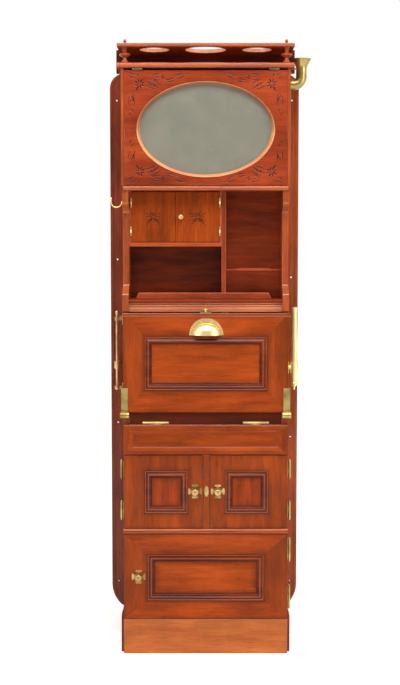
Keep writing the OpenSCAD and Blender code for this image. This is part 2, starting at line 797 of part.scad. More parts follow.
module cupboard_floor() color(mahogany)
    block([-inside, inside], [door_seat, cab_d], [plinth_h - inner_t - 1, plinth_h]);

module plinth() color(mahogany) block([-hw, hw], [0, door_seat], [0, plinth_h]);

// Skirtings on the outside of the side boards, with an S-curved top and a notch for a hinge
module side_skirtings() color(mahogany) for (s = [0, 1]) mirror([s, 0, 0]) difference() {
    along_y([skirt_set, cab_d]) polygon(concat([[hw, 0], [hw + skirt_t, 0]],
        [for (i = [0:10]) [hw + 1 + (skirt_t - 1) * (1 + cos(18 * i)) / 2,
            skirt_h - skirt_top + skirt_top * i / 10]], [[hw, skirt_h]]));
    block([hw - 1, door_pin_x + hinge_d], [skirt_set - 1, door_seat + hinge_d / 2 + slip],
        [bot_hinge_z[0] - bot_hinge_l / 2 - tip_d - slip, skirt_h + 1]);
}

module water_tank() color(zinc) difference() {
    y1 = cab_d - 2;
    block([-tank_w / 2, tank_w / 2], [tank_y, y1], [z_shelf1, z_shelf1 + tank_h]);
    block([-tank_w / 2 + sheet_t, tank_w / 2 - sheet_t], [tank_y + sheet_t, y1 - sheet_t],
        [z_shelf1 + sheet_t, z_shelf1 + tank_h - sheet_t]);
    bar_x([tank_w / 2 - 5, tank_w / 2 + 1], horn_y, horn_z, horn_d - 2 * horn_wall);
    bar_z(pipe_x, pipe_y, [z_shelf1 - 1, z_shelf1 + 5], pipe_d - 2 * pipe_wall);
}

// The filler: a stub from the tank, a bend, a short upright pipe and a bell, all hollow
module horn_solid(grow) {
    z = horn_z;
    d = horn_d - 2 * grow;
    bend_x = horn_x - horn_bend;
    bar_x([tank_w / 2 - grow * 2, bend_x], horn_y, z, d);
    translate([bend_x, horn_y, z + horn_bend]) rotate([90, 0, 0]) rotate([0, 0, -90])
        rotate_extrude(angle = 90) translate([horn_bend, 0]) circle(d = d);
    bell_z = z + mouth_up - bell_h;
    bar_z(horn_x, horn_y, [z + horn_bend, bell_z], d);
    r0 = d / 2;
    r1 = mouth_d / 2 - grow;
    translate([horn_x, horn_y, bell_z]) rotate_extrude() polygon(concat([[0, 0], [r0, 0]],
        [for (i = [1:8]) [r0 + (r1 - r0) * (1 - cos(90 * i / 8)), bell_h * i / 8]],
        [[r1, bell_h + grow * 2], [0, bell_h + grow * 2]]));
}

module filler_horn() color(brassy) difference() {
    union() {
        horn_solid(0);
        z = horn_z;
        bar_x([hw, hw + 2.5], horn_y, z, horn_d + 14);
        block([low_shelf_w / 2, horn_x - horn_d / 2 + 2], [horn_y - 5, horn_y + 5],
            [z_gal0 + 5, z_gal0 + 9]);
    }
    horn_solid(horn_wall);
}

module supply_pipe() color(brassy) difference() {
    bore = pipe_d - 2 * pipe_wall;
    union() {
        bar_z(pipe_x, pipe_y, [tap_axis_z, z_shelf1], pipe_d);
        translate([pipe_x, pipe_y, tap_axis_z]) sphere(d = pipe_d);
        bar_y(pipe_x, [tap_y, pipe_y], tap_axis_z, pipe_d);
        bar_y(pipe_x, [pipe_y, cab_d], tap_axis_z, pipe_d - 2);
        bar_y(pipe_x, [cab_d - 2, cab_d], tap_axis_z, pipe_d + 16);
        bar_z(pipe_x, tap_y, tap_z, tap_d);
        translate([pipe_x, tap_y, tap_z[0] + 8]) rotate([-50, 0, 180]) rotate([-90, 0, 0])
            cylinder(d = nozzle_d, h = nozzle_l);
    }
    bar_z(pipe_x, pipe_y, [tap_axis_z, z_shelf1 + 1], bore);
    bar_y(pipe_x, [tap_y + button_hole, pipe_y], tap_axis_z, bore);
    bar_y(pipe_x, [tap_y - tap_d, tap_y + button_hole + e], tap_axis_z, button_stem_d + 2 * pin_fit);
    translate([pipe_x, tap_y, tap_z[0] + 8]) rotate([-50, 0, 180]) rotate([-90, 0, 0])
        cylinder(d = nozzle_d - 3, h = nozzle_l + 1);
}

nozzle_d = 10;
nozzle_l = 24;
button_stem_d = 6;
button_hole = 7;

module tap_button() color(brassy) {
    face = tap_y - tap_d / 2 - button_travel - 1;
    bar_y(pipe_x, [face, tap_y + button_hole - button_travel - 1], tap_axis_z, button_stem_d);
    bar_y(pipe_x, [face - 4, face], tap_axis_z, button_d);
}

module waste_hopper() color(zinc) difference() {
    top = z_apron1;
    bottom = top - hopper_h;
    y = [apron_y + side_t, cab_d];
    mid = (door_seat + cab_d) / 2 + 2;
    union() {
        block([-inside, inside], y, [bottom, top]);
        bar_z(0, mid, [bottom - outlet_drop, bottom + 1], outlet_d);
    }
    block([-inside + sheet_t, inside - sheet_t], [y[0] + sheet_t, y[1] - sheet_t],
        [bottom + sheet_t, top + 1]);
    bar_z(0, mid, [bottom - outlet_drop - 1, bottom + 5], outlet_d - 2 * sheet_t);
}

outlet_drop = 55;

module slop_can() color(zinc) {
    y = (door_seat + cab_d) / 2 + 2;
    translate([0, y, z_mid1]) rotate_extrude() polygon([[0, 0], [can_d / 2 - 4, 0],
        [can_d / 2, 6], [can_d / 2, can_h - 4], [can_d / 2 + 2, can_h - 3],
        [can_d / 2 + 2, can_h], [can_d / 2 - sheet_t, can_h],
        [can_d / 2 - sheet_t, 7], [can_d / 2 - 6, sheet_t + 1], [0, sheet_t + 1]]);
}

// The post: a rod with a ball on top, a leaf bracket, a stop ring and a cup at its foot
module towel_post() color(brassy) translate([post_x, fit_y, post_z0]) {
    cylinder(d = post_d, h = post_l);
    translate([0, 0, post_l]) sphere(d = post_d * 1.5);
    rotate_extrude() polygon([[0, 0], [4, 0], [8, 4], [8, 11], [5, 13], [0, 13]]);
    translate([0, 0, arm_up - 3 - slip]) cylinder(d = post_d + 4, h = 3);
    for (z = [2, post_l - post_plate_h * 0.75]) translate([0, 0, z]) {
        block([0, post_out], [-3, 3], [0, 9]);
        block([post_out - 3, post_out], [-post_plate_h * 0.34, post_plate_h * 0.34],
            [-post_plate_h * 0.375, post_plate_h * 0.625]);
        bar_z(0, 0, [-1, 10], post_d + 6);
    }
}

module towel_arm() color(brassy) translate([post_x, fit_y, post_z0 + arm_up]) {
    mid = arm_knuckle_h / 2;
    difference() {
        union() {
            cylinder(d = arm_knuckle_d, h = arm_knuckle_h);
            bar_y(0, [0, arm_l], mid, arm_d);
            translate([0, arm_l, mid]) sphere(d = arm_d * 1.4);
        }
        translate([0, 0, -1]) cylinder(d = post_d + 2 * pin_fit, h = arm_knuckle_h + 2);
    }
}

module coat_hook() color(brassy) translate([-hw, fit_y, hook_z]) {
    bar_x([-2, 0], 0, 0, 16);
    bar_x([-hook_d / 2 - 1, 0], 0, 0, hook_d);
    translate([-hook_r - hook_d / 2 - 1, 0, 0]) {
        rotate([90, 0, 0]) rotate([0, 0, 180]) rotate_extrude(angle = 180)
            translate([hook_r, 0]) circle(d = hook_d);
        translate([hook_r, 0, 0]) sphere(d = hook_d);
        bar_z(-hook_r, 0, [0, 10], hook_d);
        translate([-hook_r, 0, 11]) sphere(d = hook_d * 1.7);
    }
}

candle_pin_d = 6;
candle_boss_x = candle_x - collar_d / 2 - 1;

module candle_bracket() color(brassy) translate([0, fit_y, candle_z0 + candle_pivot]) {
    block([hw, hw + 2.5], [-12, 12], [-18, 18]);
    bar_x([hw, candle_boss_x - slip], 0, 0, 15);
    bar_x([hw, candle_x - candle_d0 / 2 - 0.5], 0, 0, candle_pin_d);
}

module candle_tube() color(brassy) difference() {
    translate([candle_x, fit_y, candle_z0]) union() {
        rotate_extrude() polygon([[0, 0], [3, 1], [4, 4], [2.5, 8], [6, 10], [8, 13],
            [candle_d0 / 2 + 1.5, 15], [candle_d0 / 2 + 1.5, 22], [candle_d0 / 2, 24],
            [candle_d0 / 2, candle_pivot - 9], [candle_d1 / 2, candle_l - 8], [candle_d1 / 2 + 1, candle_l - 5],
            [candle_d1 / 2 + 1, candle_l], [candle_bore / 2, candle_l],
            [candle_bore / 2, candle_pivot + 20], [0, candle_pivot + 20]]);
        bar_z(0, 0, [candle_pivot - 12, candle_pivot + 12], collar_d);
        bar_x([candle_boss_x - candle_x, 0], 0, candle_pivot, 14);
    }
    bar_x([hw, candle_x - candle_d0 / 2 + 0.5], fit_y, candle_z0 + candle_pivot,
        candle_pin_d + 2 * pin_fit);
}

// A hinge along Z with its pin at the origin: leaves lie in the plane of X. The fixed half has
// the end knuckles, the pin and the ball tips; the moving half has the middle knuckle.
module fixed_leaf(l, reach, width, d, t, dir, tips) {
    k = l / 3;
    for (z = [-l / 2, l / 2 - k + slip]) {
        bar_z(0, 0, [z, z + k - slip], d);
        block([0, reach + 1], dir > 0 ? [0, t] : [-t, 0], [z, z + k - slip]);
    }
    bar_z(0, 0, [-l / 2, l / 2], pin_d);
    block([reach, reach + width], dir > 0 ? [0, t] : [-t, 0], [-l / 2, l / 2]);
    if (tips > 0) for (z = [-l / 2 - tips * 0.35, l / 2 + tips * 0.35])
        translate([0, 0, z]) sphere(d = tips);
}

module moving_leaf(l, reach, width, d, t, lift) {
    k = l / 3;
    difference() {
        union() {
            bar_z(0, 0, [-l / 2 + k, l / 2 - k], d);
            block([0, reach + 1], [-t - lift, -lift], [-l / 2 + k, l / 2 - k]);
        }
        bar_z(0, 0, [-l / 2, l / 2], pin_d + 2 * pin_fit);
    }
    block([reach, reach + width], [-t - lift, -lift], [-l / 2, l / 2]);
}

module door_leaf_fixed(z, l) translate([door_pin_x, door_seat, z]) mirror([1, 0, 0])
    fixed_leaf(l, hinge_out, leaf_w, hinge_d, leaf_t, 1, tip_d);

module door_leaf_moving(z, l) translate([door_pin_x, door_seat, z]) mirror([1, 0, 0])
    moving_leaf(l, hinge_out, leaf_w, hinge_d, leaf_t, door_seat - door_t);

// Seat for a door hinge's moving leaf in the door's back
module door_leaf_seat(z, l)
    block([hw - leaf_w, hw + 5], [door_t - leaf_t, door_t + 1], [z - l / 2, z + l / 2]);

// The small doors' fixed leaves lie in the strips, with their pins in front of the faces
module small_leaf_fixed(x, s) for (z = small_hinge_z) translate([x, small_face, z])
    mirror([s, 0, 0]) {
        k = small_l / 3;
        for (z1 = [-small_l / 2, small_l / 2 - k + slip]) {
            bar_z(0, 0, [z1, z1 + k - slip], small_d);
            block([-slip - 1, -slip], [0, small_pin_y + 1], [z1, z1 + k - slip]);
        }
        bar_z(0, 0, [-small_l / 2, small_l / 2], 2);
        block([-slip - 1, -slip], [small_pin_y, small_pin_y + 9], [-small_l / 2, small_l / 2]);
    }

small_hinge_z = [small_z0 + small_hinge_inset, small_z1 - small_hinge_inset];

module carcass_fittings() color(brassy) {
    for (z = low_hinge_z) {
        door_leaf_fixed(z, hinge_l);
        mirror([1, 0, 0]) door_leaf_fixed(z, hinge_l);
    }
    for (z = bot_hinge_z) door_leaf_fixed(z, bot_hinge_l);
    small_leaf_fixed(small_pin_l, 0);
    small_leaf_fixed(small_pin_r, 1);
    for (s = [-1, 1]) mirror_leaf_fixed(s * mir_hinge_x);
    for (x = flap_hinge_x) flap_leaf_fixed(x);
    difference() {
        block([-strike_w / 2, strike_w / 2], strike_y, [z_rail0, z_rail0 + leaf_t]);
        block([-bolt_hole_x, bolt_hole_x], bolt_hole_y, [z_rail0 - 1, z_rail0 + leaf_t + 1]);
    }
    translate([muntin_x, 0, knob_z]) along_y([-leaf_t, 0]) oval(muntin_w * 0.72, muntin_w * 1.83);
}

// A hinge along X under a shelf or board, its halves cut into thirds like the others
module flat_knuckles(x, l, y, z, d, ends) {
    k = l / 3;
    for (x0 = ends ? [x - l / 2, x + l / 2 - k + slip] : [x - l / 2 + k])
        bar_x([x0, x0 + k - (ends ? slip : 0)], y, z, d);
}

module mirror_leaf_fixed(x) {
    k = mir_hinge_l / 3;
    flat_knuckles(x, mir_hinge_l, mir_pin_y, mir_pin_z, mir_barrel_d, true);
    bar_x([x - mir_hinge_l / 2, x + mir_hinge_l / 2], mir_pin_y, mir_pin_z, 2);
    for (x0 = [x - mir_hinge_l / 2, x + mir_hinge_l / 2 - k + slip])
        block([x0, x0 + k - slip], [mir_pin_y - 1, mir_pin_y + 1], [mir_pin_z, z_gal0 + leaf_t]);
    block([x - mir_hinge_l / 2, x + mir_hinge_l / 2], [mir_pin_y - 1, leaf_w],
        [z_gal0, z_gal0 + leaf_t]);
}

module mirror_hinge_leaves() color(brassy) for (s = [-1, 1]) {
    x = s * mir_hinge_x;
    k = mir_hinge_l / 3;
    difference() {
        union() {
            flat_knuckles(x, mir_hinge_l, mir_pin_y, mir_pin_z, mir_barrel_d, false);
            block([x - mir_hinge_l / 2 + k, x + mir_hinge_l / 2 - k],
                [mir_pin_y, 1], [z_mir1 - leaf_t, mir_pin_z - 1]);
        }
        bar_x([x - mir_hinge_l, x + mir_hinge_l], mir_pin_y, mir_pin_z, 2 + 2 * pin_fit);
    }
    block([x - mir_hinge_l / 2, x + mir_hinge_l / 2], [0, leaf_w], [z_mir1 - leaf_t, z_mir1]);
}

module flap_leaf_fixed(x) {
    k = flap_hinge_l / 3;
    flat_knuckles(x, flap_hinge_l, flap_pin_y, flap_pin_z, flap_barrel_d, true);
    bar_x([x - flap_hinge_l / 2, x + flap_hinge_l / 2], flap_pin_y, flap_pin_z, pin_d);
    for (x0 = [x - flap_hinge_l / 2, x + flap_hinge_l / 2 - k + slip])
        block([x0, x0 + k - slip], [flap_pin_y, apron_y + 1],
            [flap_pin_z - leaf_t / 2, flap_pin_z + leaf_t / 2]);
    block([x - flap_hinge_l / 2, x + flap_hinge_l / 2], [apron_y, apron_y + leaf_w - 1],
        [flap_pin_z - leaf_t / 2, flap_pin_z + leaf_t / 2]);
}

module frieze_hinge_leaves() color(brassy) for (x = flap_hinge_x) {
    k = flap_hinge_l / 3;
    difference() {
        union() {
            flat_knuckles(x, flap_hinge_l, flap_pin_y, flap_pin_z, flap_barrel_d, false);
            block([x - flap_hinge_l / 2 + k, x + flap_hinge_l / 2 - k],
                [flap_pin_y - 3, flap_pin_y], [z_flap1 - leaf_t, flap_pin_z]);
        }
        bar_x([x - flap_hinge_l, x + flap_hinge_l], flap_pin_y, flap_pin_z, pin_d + 2 * pin_fit);
    }
    block([x - flap_hinge_l / 2, x + flap_hinge_l / 2], [flap_pin_y - 3, leaf_w + 3],
        [z_flap1 - leaf_t, z_flap1]);
}

// Lugs on the side boards that carry the fall's pins: a plate let in front of the board's
// edge, an arm and a knuckle with the pin
lug_w = 11;
lug_tail = 9;
module fall_hinge_lugs() color(brassy) for (s = [0, 1]) mirror([s, 0, 0]) {
    x = [inside, inside + lug_w];
    bar_x(x, -fall_pin_y, fall_pin_z, fall_barrel_d);
    bar_x([inside, fw + bracket_out], -fall_pin_y, fall_pin_z, fall_pin_d);
    block(x, [-fall_pin_y, door_seat], [fall_pin_z - 5, fall_pin_z + 5]);
    block(x, [door_seat - 3, door_seat], [fall_pin_z - lug_tail, fall_pin_z + 5]);
}

module mirror_frame() color(mahogany) difference() {
    block([-mirror_w / 2, mirror_w / 2], [0, door_t], [z_mir0, z_mir1]);
    translate([0, 0, oval_z]) along_y([-1, door_t + 1]) oval(oval_w, oval_h);
    for (s = [-1, 1]) block([s * mir_hinge_x - mir_hinge_l / 2, s * mir_hinge_x + mir_hinge_l / 2],
        [-1, leaf_w], [z_mir1 - leaf_t, z_mir1 + 1]);
}

module mirror_lip() color(mahogany) translate([0, 0, oval_z]) difference() {
    union() {
        along_y([0, door_t - glass_t]) oval(oval_w, oval_h);
        along_y([-2.5, 0]) oval(oval_w - 3, oval_h - 3);
    }
    along_y([-4, door_t]) oval(oval_w - 2 * lip_w, oval_h - 2 * lip_w);
}

module mirror_glass() color("#93938a") translate([0, 0, oval_z])
    along_y([door_t - glass_t, door_t]) oval(oval_w - 1, oval_h - 1);

module mirror_backing() color(dark)
    block([-inside + 4, inside - 4], [door_t, door_t + backing_t], [z_mir0 + 5, z_mir1 - 5]);

// Eight carved points, sunk a little into the small doors: long ones across, short ones up
module star_cut(x) translate([x, 0, small_zc]) along_y([small_y - 1, small_y + 1.2])
    for (p = [[0, 30], [90, 24], [180, 30], [270, 24], [38, 21], [142, 21], [218, 21], [322, 21]])
        rotate(p[0]) polygon([[2, 0], [p[1] * 0.4, -3.2], [p[1], 0], [p[1] * 0.4, 3.2]]);

// A small door between its hinge pin and the meeting line, with seats for its leaves
module small_door(pin, edge, s) {
    x = s > 0 ? [pin + slip, edge] : [edge, pin - slip];
    difference() {
        block(x, [small_y, small_y + small_t], [small_z0, small_z1]);
        star_cut((x[0] + x[1]) / 2);
        for (z = small_hinge_z) translate([pin, 0, z]) mirror([s > 0 ? 0 : 1, 0, 0])
            block([0, slip + 1 + seam], [small_y - 1, small_y + 9 + seam],
                [-small_l / 2 - seam, small_l / 2 + seam]);
    }
    for (z = small_hinge_z) translate([pin, small_face, z]) mirror([s > 0 ? 0 : 1, 0, 0])
        small_leaf_moving();
}

// The moving leaf: a middle knuckle and a plate in the door's edge
module small_leaf_moving() {
    k = small_l / 3;
    difference() {
        union() {
            bar_z(0, 0, [-k / 2, k / 2], small_d);
            block([slip, slip + 1], [0, small_pin_y + 1], [-k / 2, k / 2]);
        }
        bar_z(0, 0, [-small_l, small_l], 2 + 2 * pin_fit);
    }
    block([slip, slip + 1], [small_pin_y, small_pin_y + 9], [-small_l / 2, small_l / 2]);
}

module small_door_left() color(mahogany)
    small_door(small_pin_l, small_meet_x - small_gap / 2, 1);
module small_door_right() color(mahogany)
    small_door(small_pin_r, small_meet_x + small_gap / 2, -1);

// A turned knob standing out along -Y from a face
module knob_shape(d, h) rotate([90, 0, 0]) rotate_extrude() polygon([[0, 0], [d * 0.34, 0],
    [d * 0.3, h * 0.12], [d * 0.2, h * 0.3], [d * 0.22, h * 0.42], [d * 0.42, h * 0.54],
    [d / 2, h * 0.7], [d * 0.46, h * 0.86], [d * 0.3, h * 0.96], [0, h]]);

module small_door_knob() color(brassy)
    translate([small_meet_x + 16, small_y, small_zc]) knob_shape(small_knob_d, small_knob_h);

fall_mould_z = z_fall0 + fall_mould_up + fall_mould_h / 2;

// A moulding planted over the joint of a frame and its panel
module moulding(cx, cz, w, h) {
    b = mould_w;
    g = 2 * seam;
    ring_xz(cx, cz, w, h, b * 0.3, [-mould_proud * 0.6, -seam]);
    ring_xz(cx, cz, w - b * 0.5, h - b * 0.5, b * 0.4, [-mould_proud, -seam]);
    ring_xz(cx, cz, w - b - g, h - b - g, b * 0.5, [-mould_proud * 0.5, panel_sink - seam]);
}

// A frame with an opening for a panel, both cut from one outline
module opened_front(x, z, cx, cz, w, h) difference() {
    block(x, [0, door_t], z);
    block([cx - (w - mould_w) / 2, cx + (w - mould_w) / 2], [-1, door_t + 1],
        [cz - (h - mould_w) / 2, cz + (h - mould_w) / 2]);
}

module panel(cx, cz, w, h, back) {
    x = (w - mould_w) / 2 - seam;
    z = (h - mould_w) / 2 - seam;
    block([cx - x, cx + x], [panel_sink, back], [cz - z, cz + z]);
}

module fall_frame() color(mahogany) difference() {
    union() {
        opened_front([-fw, fw], [z_fall0, z_fall1], 0, fall_mould_z, fall_mould_w, fall_mould_h);
        bar_x([-fw, fw], top_bead / 4, z_fall1 - top_bead / 2, top_bead);
    }
    block([-bolt_plate_w / 2, bolt_plate_w / 2], [-1, door_t + 1],
        [bolt_z1 - bolt_plate_t, z_fall1 + 1]);
    block([-bolt_tongue_w / 2 - 1, bolt_tongue_w / 2 + 1], [1.5, door_t + 1],
        [bolt_z1 - bolt_plate_t - 14, z_fall1]);
}

module fall_panel() color(mahogany)
    panel(0, fall_mould_z, fall_mould_w, fall_mould_h, door_t);

module fall_moulding() color(dark) moulding(0, fall_mould_z, fall_mould_w, fall_mould_h);

pull_z = z_fall1 - fall_mould_down + 5;

// Half-round plate with a quarter-round finger cup, open below
module cup_pull() color(brassy) translate([pull_x, 0, pull_z]) {
    difference() {
        union() {
            difference() {
                along_y([-1.8, 0]) intersection() {
                    circle(d = pull_w);
                    translate([-pull_w, 0]) square([2 * pull_w, pull_h]);
                }
                along_y([-3, 1]) translate([-cup_w / 2 + 4, -1]) square([cup_w - 8, 14]);
            }
            cup_solid(0);
        }
        cup_solid(cup_wall);
    }
    for (a = [28, 68, 112, 152]) translate([pull_w * 0.42 * cos(a), 0, pull_w * 0.42 * sin(a)])
        bar_y(0, [-2.8, 0], 0, 5.5);
}

module cup_solid(t) intersection() {
    translate([0, 0, 2]) rotate([0, 90, 0]) rotate_extrude() polygon(
        [for (i = [0:12]) let (a = 180 * i / 12) [(cup_out - t) * sin(a),
            (cup_w / 2 - t) * cos(a)]]);
    block([-cup_w, cup_w], t > 0 ? [-cup_w, 5] : [-cup_w, 0], [t > 0 ? -5 : 0, cup_w]);
}

// Corner brackets, each a plate, a side flange and a knuckle, and the bolt's plate
module fall_brackets() color(brassy) {
    for (s = [0, 1]) mirror([s, 0, 0]) {
        outer = fw + bracket_out;
        knuckle = [inside + lug_w + slip, outer + 2.5];
        block([outer - bracket_w, outer], [-bracket_t, 0], [z_fall0 + 1, z_fall0 + bracket_h]);
        block([fw, outer], [-bracket_t, door_t - 2], [z_fall0 + 1, z_fall0 + bracket_h]);
        difference() {
            union() {
                bar_x(knuckle, -fall_pin_y, fall_pin_z, fall_barrel_d);
                block([knuckle[0], outer], [-fall_pin_y - 3, 0], [fall_pin_z, z_fall0 + 4]);
            }
            bar_x([inside, outer + 5], -fall_pin_y, fall_pin_z, fall_pin_d + 2 * pin_fit);
        }
    }
    z0 = bolt_z1 - bolt_plate_t;
    difference() {
        union() {
            block([-bolt_plate_w / 2, bolt_plate_w / 2], [-1, door_t], [z0, bolt_z1]);
            block([-bolt_plate_w / 2, bolt_plate_w / 2], [door_t - 1, bolt_tongue_y[1] + 2],
                [z0, bolt_z1 - 1]);
        }
        bar_z(0, bolt_y, [z0 - 1, bolt_z1 + 1], bolt_stem_d + 2 * pin_fit);
        block([-bolt_tongue_w / 2 - slip, bolt_tongue_w / 2 + slip],
            [bolt_tongue_y[0] - slip, bolt_tongue_y[1] + slip], [z0 - 1, bolt_z1 + 1]);
    }
}

// Knob, stem, cross bar and tongue, drawn as far down as the bolt goes
module fall_bolt() color(brassy) {
    top = bolt_z1 + bolt_knob_h;
    bar = bolt_z1 - bolt_plate_t - bolt_travel - 1;
    bar_z(0, bolt_y, [bar - 4, top - 4], bolt_stem_d);
    translate([0, bolt_y, top - 8]) rotate_extrude() polygon([[0, 0], [bolt_stem_d / 2, 0],
        [bolt_knob_d * 0.4, 2.5], [bolt_knob_d / 2, 4.5], [bolt_knob_d * 0.42, 6.5],
        [bolt_knob_d * 0.2, 8], [0, 8]]);
    block([-bolt_stem_d / 2, bolt_stem_d / 2], [bolt_y, bolt_tongue_y[1]], [bar - 4, bar]);
    block([-bolt_tongue_w / 2, bolt_tongue_w / 2], bolt_tongue_y, [bar - 4, bolt_z1 - 1]);
}

// Half sizes and depth of the basin's rings, from the foot out over the rim and down inside
function basin_rings() = let (a = basin_w / 2, b = basin_h / 2, d = basin_d, w = basin_wall)
    [[a * 0.42, b * 0.42, 0], [a * 0.46, b * 0.46, 0], [a * 0.48, b * 0.48, 5],
    [a * 0.66, b * 0.66, 14], [a * 0.8, b * 0.8, d * 0.34], [a * 0.89, b * 0.89, d * 0.62],
    [a * 0.92, b * 0.92, d * 0.88], [a, b, d * 0.9], [a, b, d], [a * 0.9, b * 0.9, d],
    [a * 0.89 - w, b * 0.89 - w, d * 0.88], [a * 0.89 - w, b * 0.89 - w, d * 0.62],
    [a * 0.8 - w, b * 0.8 - w, d * 0.36], [a * 0.64 - w, b * 0.64 - w, 14 + w],
    [a * 0.4, b * 0.4, 5 + w]];

basin_n = 40;

module basin() color("#f2efe6") {
    rings = basin_rings();
    m = len(rings);
    n = basin_n;
    y0 = door_t;
    zc = z_fall0 + basin_up;
    pts = [for (r = rings, i = [0:n - 1]) let (t = 360 * i / n, c = cos(t), s = sin(t))
        [r[0] * sign(c) * pow(abs(c), 0.72), y0 + r[2], zc + r[1] * sign(s) * pow(abs(s), 0.72)]];
    sides = [for (k = [0:m - 2], i = [0:n - 1]) let (j = (i + 1) % n)
        each [[k * n + i, k * n + j, (k + 1) * n + j], [k * n + i, (k + 1) * n + j, (k + 1) * n + i]]];
    caps = [[for (i = [n - 1:-1:0]) i], [for (i = [0:n - 1]) (m - 1) * n + i]];
    polyhedron(points = pts, faces = concat(sides, caps));
}

module frieze_flap() color(mahogany) {
    x = fw - flap_border;
    z = [z_flap0 + flap_border_low, z_flap1 - flap_border_top];
    x1 = x - flap_slope;
    z1 = [z[0] + flap_slope, z[1] - flap_slope];
    difference() {
        union() {
            block([-fw, fw], [0, door_t], [z_flap0, z_flap1]);
            bar_x([-fw, fw], top_bead / 4, z_flap1 - top_bead / 2, top_bead);
        }
        hull() {
            block([-x, x], [-0.01, 0], z);
            block([-x1, x1], [panel_sink, panel_sink + 0.01], z1);
        }
        block([-x1, x1], [-1, door_t + 1], z1);
        for (x = flap_hinge_x) block([x - flap_hinge_l / 2, x + flap_hinge_l / 2],
            [flap_pin_y - 3, door_t + 1], [z_flap1 - leaf_t, z_flap1 + 1]);
    }
    block([-x1 + seam, x1 - seam], [panel_sink, door_t - 4], [z1[0] + seam, z1[1] - seam]);
}

// One door of the pair, drawn for the right side; its square moulding lies towards the upright
function low_x(s) = muntin_x * s + muntin_w / 2 + 1;
module low_door(s) {
    cx = muntin_x * s + square_off;
    cz = z_low0 + low_door_h / 2 - 0.75;
    difference() {
        opened_front([low_x(s), fw], [z_low0, z_low1], cx, cz, square_mould, square_mould);
        for (z = low_hinge_z) door_leaf_seat(z, hinge_l);
        bar_y(muntin_x * s + knob_off, [-1, door_t + 1], knob_z, knob_spindle_d + 2 * pin_fit);
    }
    panel(cx, cz, square_mould, square_mould, door_t - 4);
    moulding(cx, cz, square_mould, square_mould);
}

// A cross of four arms, each ending in a round eye between two small ears, with a sunk screw
module cross_plate(x, z) {
    eye = cross_screw_d * 2.2;
    ear = cross_tip_w * 0.34;
    off = cross_w / 2 - eye / 2;
    difference() {
        translate([x, 0, z]) {
            bar_y(0, [-cross_t, 0], 0, cross_w * 0.55);
            for (a = [0:90:270]) rotate([0, a, 0]) {
                bar_y(off, [-cross_t, 0], 0, eye);
                for (s = [-1, 1])
                    bar_y(off + eye * 0.16, [-cross_t, 0], (cross_tip_w - ear) / 2 * s, ear);
            }
        }
        translate([x, 0, z]) for (a = [0:90:270]) rotate([0, a, 0])
            bar_y(off, [-cross_t - 1, -cross_t * 0.4], 0, cross_screw_d);
        bar_y(x, [-cross_t - 2, 1], z, knob_spindle_d + 2 * pin_fit);
    }
}

// Knob in front, spindle through the door, tongue behind it hanging down
module turn_knob(x, z, reach) {
    y1 = door_t + 2;
    translate([x, -cross_t - slip, z]) knob_shape(knob_d, knob_h);
    bar_y(x, [-cross_t - 1.5, y1 + tongue_t], z, knob_spindle_d);
    bar_y(x, [y1, y1 + tongue_t], z, tongue_w);
    block([x - tongue_w / 2, x + tongue_w / 2], [y1, y1 + tongue_t], [z - reach, z]);
}

module low_fittings(s) {
    for (z = low_hinge_z) door_leaf_moving(z, hinge_l);
    cross_plate(muntin_x * s + knob_off, knob_z);
}

module left_door() color(mahogany) mirror([1, 0, 0]) low_door(-1);
module right_door() color(mahogany) low_door(1);
module left_door_fittings() color(brassy) mirror([1, 0, 0]) low_fittings(-1);
module right_door_fittings() color(brassy) low_fittings(1);
module left_door_knob() color(brassy) turn_knob(muntin_x - knob_off, knob_z, tongue_l);
module right_door_knob() color(brassy) turn_knob(muntin_x + knob_off, knob_z, tongue_l);

bot_mould_z = z_bot0 + bot_mould_up + bot_mould_h / 2;
bot_tongue_l = bot_knob_x > 0 ? inside - bot_knob_x + 6 : tongue_l;

module bottom_door() color(mahogany) {
    difference() {
        opened_front([-fw, fw], [z_bot0, z_bot1], 0, bot_mould_z, bot_mould_w, bot_mould_h);
        for (z = bot_hinge_z) door_leaf_seat(z, bot_hinge_l);
        bar_y(-bot_knob_x, [-1, door_t + 1], bot_knob_z, knob_spindle_d + 2 * pin_fit);
    }
    panel(0, bot_mould_z, bot_mould_w, bot_mould_h, door_t - 4);
    moulding(0, bot_mould_z, bot_mould_w, bot_mould_h);
}

module bottom_door_fittings() color(brassy) {
    for (z = bot_hinge_z) door_leaf_moving(z, bot_hinge_l);
    cross_plate(-bot_knob_x, bot_knob_z);
}

module bottom_door_knob() color(brassy) turn_knob(-bot_knob_x, bot_knob_z, bot_tongue_l);

back_board();
gallery_back();
gallery_top_shelf();
gallery_lower_shelf();
gallery_spindles();
side_left();
side_right();
mid_shelf();
divider();
cupboard_shelf();
service_panel();
compartment_floor();
fiddle_rails();
front_rail();
apron_board();
door_head_rail();
muntin();
mid_rail();
cupboard_floor();
plinth();
side_skirtings();
water_tank();
filler_horn();
supply_pipe();
waste_hopper();
slop_can();
towel_post();
coat_hook();
candle_bracket();
carcass_fittings();
fall_hinge_lugs();
mirror_frame();
mirror_lip();
mirror_glass();
mirror_backing();
mirror_hinge_leaves();
small_door_left();
small_door_right();
small_door_knob();
fall_frame();
fall_panel();
fall_moulding();
cup_pull();
fall_brackets();
basin();
fall_bolt();
frieze_flap();
frieze_hinge_leaves();
left_door();
left_door_fittings();
left_door_knob();
right_door();
right_door_fittings();
right_door_knob();
bottom_door();
bottom_door_fittings();
bottom_door_knob();
towel_arm();
candle_tube();
tap_button();
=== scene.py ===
import math

import bmesh
import bpy
from mathutils import Matrix, Vector


